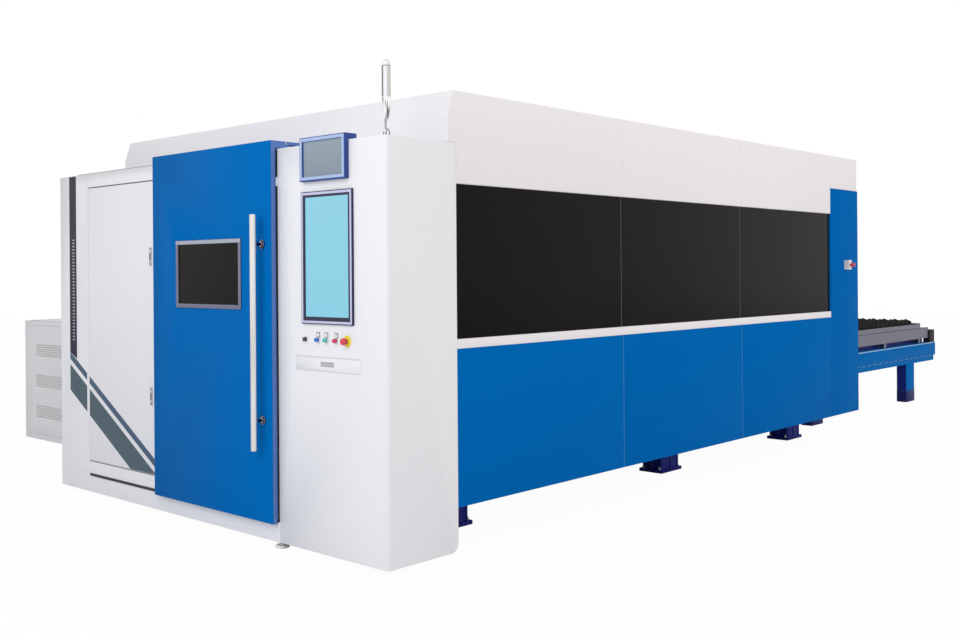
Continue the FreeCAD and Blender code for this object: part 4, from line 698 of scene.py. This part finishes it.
dress("blue_button", lit_plastic("lens_blue", "#2F70C8", glow=0.1))
dress("green_button", lit_plastic("lens_green", "#52B5AA", glow=0.1))
dress("red_button", lit_plastic("lens_red", "#C8285A", glow=0.1))
dress("control_bezels", brushed_metal("bezel_chrome", "#F0F0F5", "#DCDDE4", 0.2, (1, 1, 1)))
dress("estop_plate", lit_plastic("stop_plate_yellow", "#F3DC1E", 0.4))
stop_red = lit_plastic("stop_red", "#D64450", 0.3)
dress("console_estop", stop_red)
dress("key_switch", brushed_metal("key_nickel", "#8A8C92", "#6C6E74", 0.3, (1, 1, 1)))
legend_sides, legend_height, mark_height = (538, 469, 389), 1216.5, 1221
legend_edge, legend_plate = rounded_box(27, 27, 2), rounded_box(21, 21, 1.5)
legend_mark = rounded_box(9, 3, 1)
edge_grids, plate_grids, mark_grids = [], [], []
for side in legend_sides:
    edge_grids.append(bar(legend_edge, at(-2, side, legend_height), at(-2.6, side, legend_height)))
    plate_grids.append(bar(legend_plate, at(-2, side, legend_height), at(-3.1, side, legend_height)))
    mark_grids.append(bar(legend_mark, at(-3, side - 3, mark_height), at(-3.5, side - 3, mark_height)))
engraved_white = lit_plastic("engraved_acrylic_white", "#EEF0F4", 0.4)
surface("legend_edges", edge_grids, black_abs, "machine")
surface("legend_plates", plate_grids, engraved_white, "machine")
surface("legend_marks", mark_grids, black_abs, "machine")

softened("keyboard_drawer", 1.2, end_white)
# The grey bars along the drawer's top and bottom are painted shade of the drawer's gap; its end bars are
# white.
drawer_gap_shade_grey = powder_coat("drawer_gap_painted_shade", "#D0D2D8", "#C8CAD1", 0.5)
drawer_near, drawer_far, drawer_foot, drawer_head = 204, 733, 1024, 1094
lip_width, lip_lap, lip_proud = 6.5, 5, 0.3
lip_bars = border(0, lip_proud, drawer_near - lip_lap, drawer_far + lip_lap, drawer_foot - lip_lap,
                  drawer_head + lip_lap, lip_width, lip_width, lip_width)
surface("drawer_gap_shade_bars", lip_bars[:2], drawer_gap_shade_grey, "drawer")
surface("drawer_lip_ends", lip_bars[2:], end_white, "drawer")
pull_place = ((drawer_near + drawer_far) / 2, (drawer_foot + drawer_head) / 2)
pull = bar(rounded_box(96, 17, 3), at(8.8, *pull_place), at(1.5, *pull_place))
pull_grey = powder_coat("pull_grey", "#B6B6BC", "#AAAAB2", 0.5)
surface("drawer_pull", [pull], pull_grey, "drawer")
dress("keyboard", black_abs)


# ---------------------------------------------------------------- stack light
# The signal lamp is a frosted polycarbonate tube on a polished stem that is drawn in to a neck and screwed to
# the console's roof.

def chrome_painted_reflections(name, bright, dark):
    """Polished chrome with long dark streaks that are painted reflections of dark surroundings. They are
    noise 9 mm wide, drawn out over the height."""
    material, tree, metal, place = started(name)
    drawn = add(tree, "ShaderNodeMapping", {"Scale": (1, 1, 0.03)}, {"Vector": place}).outputs[0]
    share = stretched(tree, noise(tree, drawn, 110.0, 1.0), 0.50, 0.64)
    tree.links.new(blend(tree, share, linear(bright), linear(dark)), metal.inputs["Base Color"])
    metal.inputs["Metallic"].default_value = 1.0
    metal.inputs["Roughness"].default_value = 0.15
    return material


lamp_along, lamp_across, tube_foot, tube_head = 60, 56, 2436, 2594
lamp_foot = at(lamp_along, lamp_across, 0)
stem = [(25, 2240.2), (25, 2243), (22, 2250), (19, 2262), (12, 2277), (9.5, 2288), (10, 2302), (14, 2342),
        (19, 2392), (22.4, 2425), (23, tube_foot)]
lamp_chrome = chrome_painted_reflections("lamp_chrome", "#FAFAFA", "#76767C")
stem_piece = surface("stack_light_stem", [spun(stem, lamp_foot, upwards, 48)], lamp_chrome, "machine")
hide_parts("stack_light_base")
tube = [(22.6, tube_foot), (22.6, tube_head), (21.6, 2595.5), (21.6, 2598), (22.8, 2599.5), (22.8, 2610),
        (21.4, 2617), (18, 2622), (12, 2625), (5, 2625.8)]
frosted = lit_plastic("lens_clear_frosted", "#E4E6EA", 0.25, 0.0)
tube_piece = surface("stack_light_tube", [spun(tube, lamp_foot, upwards, 48)], frosted, "machine")
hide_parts("stack_light_lens")


def lens_strip(middle, half_width):
    """A strip of painted reflection let into the tube's wall, from a round arc and its smaller twin: radius
    22 to 23 mm.
    """
    angle = np.radians(np.linspace(middle - half_width, middle + half_width, 7))
    outer = np.stack([np.cos(angle), np.sin(angle)], axis=-1) * 23
    inner = np.stack([np.cos(angle[::-1]), np.sin(angle[::-1])], axis=-1) * 22
    low, high = at(lamp_along, lamp_across, tube_foot + 4), at(lamp_along, lamp_across, tube_head)
    return bar(np.concatenate([outer, inner]), low, high)


# The dark grey strip on one side of the lens and the beige strip on the other are painted reflections of the
# surroundings at its edges.
lens_dark_reflection = powder_coat("lens_painted_reflection_dark", "#6B6B70", "#77777C", 0.4)
surface("lamp_lens_reflection_dark", [lens_strip(153, 33)], lens_dark_reflection, "machine")
lens_beige_reflection = powder_coat("lens_painted_reflection_beige", "#C4C2BC", "#CCCAC5", 0.4)
surface("lamp_lens_reflection_beige", [lens_strip(-80, 42)], lens_beige_reflection, "machine")
# The lower ring is a painted shadow line where the cap meets the tube; the upper ring lies on top of the cap.
ring_and_shadow_grey = powder_coat("lamp_ring_and_painted_shadow", "#7E7D80", "#8A898C", 0.4)
surface("lamp_ring_and_shadow_line", [spun([(23, 2595.2), (23, 2598.2)], lamp_foot, upwards, 48),
                      spun([(14, 2624.6), (14, 2626), (6, 2626)], lamp_foot, upwards, 32)],
        ring_and_shadow_grey, "machine")


# ---------------------------------------------------------------- rear end
# Two columns of folded sheet and a portal plate, powder-coated in the blue of the sides, close the rear.
# The near column carries a small moulded box with an emergency stop.

softened("near_column", 4.0, side_blue)
softened("far_column", 4.0, side_blue)
softened("rear_portal", 3.0, side_blue)
softened("column_estop_box", 1.5, powder_coat("moulded_abs_grey", "#E9E7E4", "#DFDCD8", 0.4))
dress("column_estop", stop_red)


# ---------------------------------------------------------------- gantry and cutting head
# Inside, a welded steel bridge in grey powder coat spans the bed and runs on its rails. A milled aluminium
# carriage slides along the bridge and carries the head in its stainless housing.

softened("gantry_beam", 2.0, grey_coat)
softened("gantry_carriage", 2.0, brushed_metal("milled_aluminium", "#B9B7C0", "#A9A7B2", 0.38, (1, 0.03, 1)))
softened("cutting_head", 1.0, stainless)


# ---------------------------------------------------------------- shuttle table
# The table is welded from blue box beams on short legs with navy sleeves at their feet. Navy sheets on each
# beam's inner edge and on the legs' faces are painted shade, and a pale line on each beam's top edge is a
# painted highlight. A stitch weld runs under each beam's outer side, and a rubber-faced stop closes its end.

softened("exchange_frame", 2.0, powder_coat("powder_coat_table_blue", "#0872BE", "#046AB6", 0.42, 0.006))


def mirrored(side, near):
    """A distance across from the near side, or the same from the far side of the machine."""
    return near if side == "near" else machine_width - near


table_start, table_end, beam_side, beam_low, beam_high = 5702, 9730, 733, 497, 652
weld_first, weld_last, weld_pitch, weld_length = table_start + 60, table_end - 160, 150, 84
shade_sheet_side, shade_sheet_middle, shade_sheet_end = 834.6, 676, 9574
stop_along, stop_across, stop_foot, stop_head = 9650, 781.5, 652.5, 801.5
leg_side, leg_along, leg_across, leg_top, leg_starts = 735, 245, 110, 435, (6342, 8798)
sleeve_foot, sleeve_top, plate_foot = 0.5, 130, 131
edge_line, weld = rounded_box(5, 11, 1.5, 2), rounded_box(4.5, 4.5, 2, 2)
edge_height, weld_height = beam_high - 5.2, beam_low - 1.5
shade_sheet_outline, stop_cover = rounded_box(0.8, 43, 0.3, 1), rounded_box(152, 79, 2)
leg_shade_outline = rounded_box(leg_across - 3, leg_top - plate_foot - 2, 1)
leg_sleeve = rounded_box(leg_along + 3, leg_across + 3, 3)
edge_grids, weld_grids, shade_sheet_grids, stop_grids, plate_grids, sleeve_grids = [], [], [], [], [], []
for side, outward in (("near", -1), ("far", 1)):
    rim = mirrored(side, beam_side) - outward * 1.5
    edge_grids.append(bar(edge_line, at(table_start, rim, edge_height), at(table_end - 1, rim, edge_height)))
    toe = mirrored(side, beam_side + 5) + outward * 1.2
    for start in np.arange(weld_first, weld_last, weld_pitch):
        weld_grids.append(bar(weld, at(start, toe, weld_height), at(start + weld_length, toe, weld_height)))
    shade_sheet = mirrored(side, shade_sheet_side)
    shade_sheet_grids.append(bar(shade_sheet_outline, at(table_start, shade_sheet, shade_sheet_middle), at(shade_sheet_end, shade_sheet, shade_sheet_middle)))
    stop = mirrored(side, stop_across)
    stop_grids.append(bar(stop_cover, at(stop_along, stop, stop_foot), at(stop_along, stop, stop_head)))
    for leg in leg_starts:
        plate = (mirrored(side, leg_side + leg_across / 2), (leg_top + plate_foot) / 2)
        plate_grids.append(bar(leg_shade_outline, at(leg + 0.2, *plate), at(leg - 0.7, *plate)))
        sleeve = (leg + leg_along / 2, plate[0])
        sleeve_grids.append(bar(leg_sleeve, at(*sleeve, sleeve_foot), at(*sleeve, sleeve_top)))
# The pale line along each beam's top edge is a painted highlight.
beam_edge_highlight = powder_coat("beam_edge_painted_highlight", "#A9C8E6", "#8DB5DC", 0.5)
weld_pale = brushed_metal("stitch_weld", "#C4D2E4", "#9DB2CC", 0.45, (1, 1, 1))
# The navy sheets on the beams' inner edges and on the legs' faces are painted shade: of the gap under the
# pallet and of the legs' shaded sides.
shade_navy = powder_coat("navy_painted_shade", "#1F2C82", "#1A2474", 0.42, 0.1)
foot_navy = powder_coat("powder_coat_foot_navy", "#161C5C", "#1E2668", 0.42, 0.15)
stop_black = powder_coat("stop_rubber_black", "#1C1C22", "#26262C", 0.6, 0.2)
surface("beam_edge_highlight_line", edge_grids, beam_edge_highlight, "machine")
surface("flange_stitch_welds", weld_grids, weld_pale, "machine")
surface("beam_gap_shade_sheets", shade_sheet_grids, shade_navy, "machine")
surface("leg_face_shade_sheets", plate_grids, shade_navy, "machine")
surface("leg_foot_sleeves", sleeve_grids, foot_navy, "machine")
surface("end_stop_covers", stop_grids, stop_black, "machine")


# ---------------------------------------------------------------- pallet
# The pallet is a mill-finish steel frame with saw-tooth slats, burnt dark by cutting. It rolls on four pairs
# of ground wheels along the table's beams, outside the navy sheets of painted shade on their inner edges.

dress("pallet_frame", brushed_metal("mill_finish_steel", "#8F8E9E", "#73717F", 0.45, (0.04, 1, 1)))
# The black lines along the pallet's side members are painted shadow at the joint between seat and channel;
# the same black colours the deck cover.
scale_and_shadow_black = powder_coat("scale_and_shadow_black", "#2A2A30", "#34343A", 0.6, 0.2)
seam_start, seam_end, seam_side, seam_height = 5962, 9566, 757.8, 830.5
seam_grids = []
for side in ("near", "far"):
    line = mirrored(side, seam_side)
    seam_grids.append(bar(rounded_box(1, 4, 0.4, 1), at(seam_start, line, seam_height),
                          at(seam_end, line, seam_height)))
surface("member_seam_shadows", seam_grids, scale_and_shadow_black, "pallet")
deck_along, deck_side, deck_foot, deck_top = 9262, 768, 889.5, 892
deck_outline = rounded_box(140, machine_width - 2 * deck_side, 2)
deck_place = (deck_along, machine_width / 2)
deck = bar(deck_outline, at(*deck_place, deck_foot), at(*deck_place, deck_top))
surface("deck_cover", [deck], scale_and_shadow_black, "pallet")


def burnt_steel(name):
    """Cut plate scorched by the beam: blue-black scale with brown rust and pale slag spatter 20 mm across."""
    material, tree, plate, place = started(name)
    scale = blend(tree, noise(tree, place, 9.0, 6.0), linear("#20262A"), linear("#4A3F36"))
    slag = noise(tree, place, 50.0, 3.0)
    spatter = stretched(tree, slag, 0.60, 0.68)
    tone = add(tree, "ShaderNodeMix", {7: linear("#6E6A62")}, {0: spatter, 6: scale}, data_type="RGBA")
    tree.links.new(tone.outputs[2], plate.inputs["Base Color"])
    bumped(tree, plate, slag, 0.5, 0.002)
    plate.inputs["Metallic"].default_value = 0.5
    plate.inputs["Roughness"].default_value = 0.6
    return material


dress("pallet_slats", burnt_steel("scorched_plate"))
for i in (1, 2, 3, 4):
    dress(f"pallet_wheels_{i}", ground_steel)


# ---------------------------------------------------------------- chiller and duct
# The water chiller is a free-standing cabinet in pale grey-white, with three bands of vent slots, joined to
# the bed by a galvanised floor duct.

softened("chiller_cabinet", 2.0, powder_coat("powder_coat_chiller", "#ECEDF0", "#E2E1E4", 0.45))
chiller_front, chiller_depth, chiller_near, chiller_width, chiller_top = 981, 800, 4960, 1200, 1110
chiller_middle = chiller_near + chiller_width / 2
vent_slot = rounded_box(chiller_width - 442, 9.6, 1, 1)
vent_first, band_pitch, slot_pitch = 214, 287, 20
vent_grids = []
for band in range(3):
    for row in range(6):
        height = vent_first + band_pitch * band + slot_pitch * row
        vent_grids.append(bar(vent_slot, at(chiller_front + 14.9, chiller_middle, height),
                              at(chiller_front + 5, chiller_middle, height)))
mesh_grey = powder_coat("vent_mesh_grey", "#CFCBCB", "#C2BEBF", 0.6)
surface("vent_mesh", vent_grids, mesh_grey, "machine")
gasket_inset, gasket_width, gasket_short, gasket_foot = 34, 6, 72, chiller_top - 0.4
gasket_top = gasket_foot + 2.2
gasket_grids = []
for across in (chiller_near + gasket_inset, chiller_near + chiller_width - gasket_inset):
    place = (chiller_front + chiller_depth / 2, across)
    outline = rounded_box(chiller_depth - gasket_short, gasket_width, 1, 1)
    gasket_grids.append(bar(outline, at(*place, gasket_foot), at(*place, gasket_top)))
for along in (chiller_front + gasket_inset, chiller_front + chiller_depth - gasket_inset):
    place = (along, chiller_middle)
    outline = rounded_box(gasket_width, chiller_width - gasket_short, 1, 1)
    gasket_grids.append(bar(outline, at(*place, gasket_foot), at(*place, gasket_top)))
gasket_dark = powder_coat("lid_gasket_dark", "#4A4A50", "#55555C", 0.6)
surface("lid_gasket", gasket_grids, gasket_dark, "machine")
dress("cable_duct", brushed_metal("galvanised_sheet", "#B9BCC0", "#9DA1A6", 0.4, (1, 0.1, 1)))
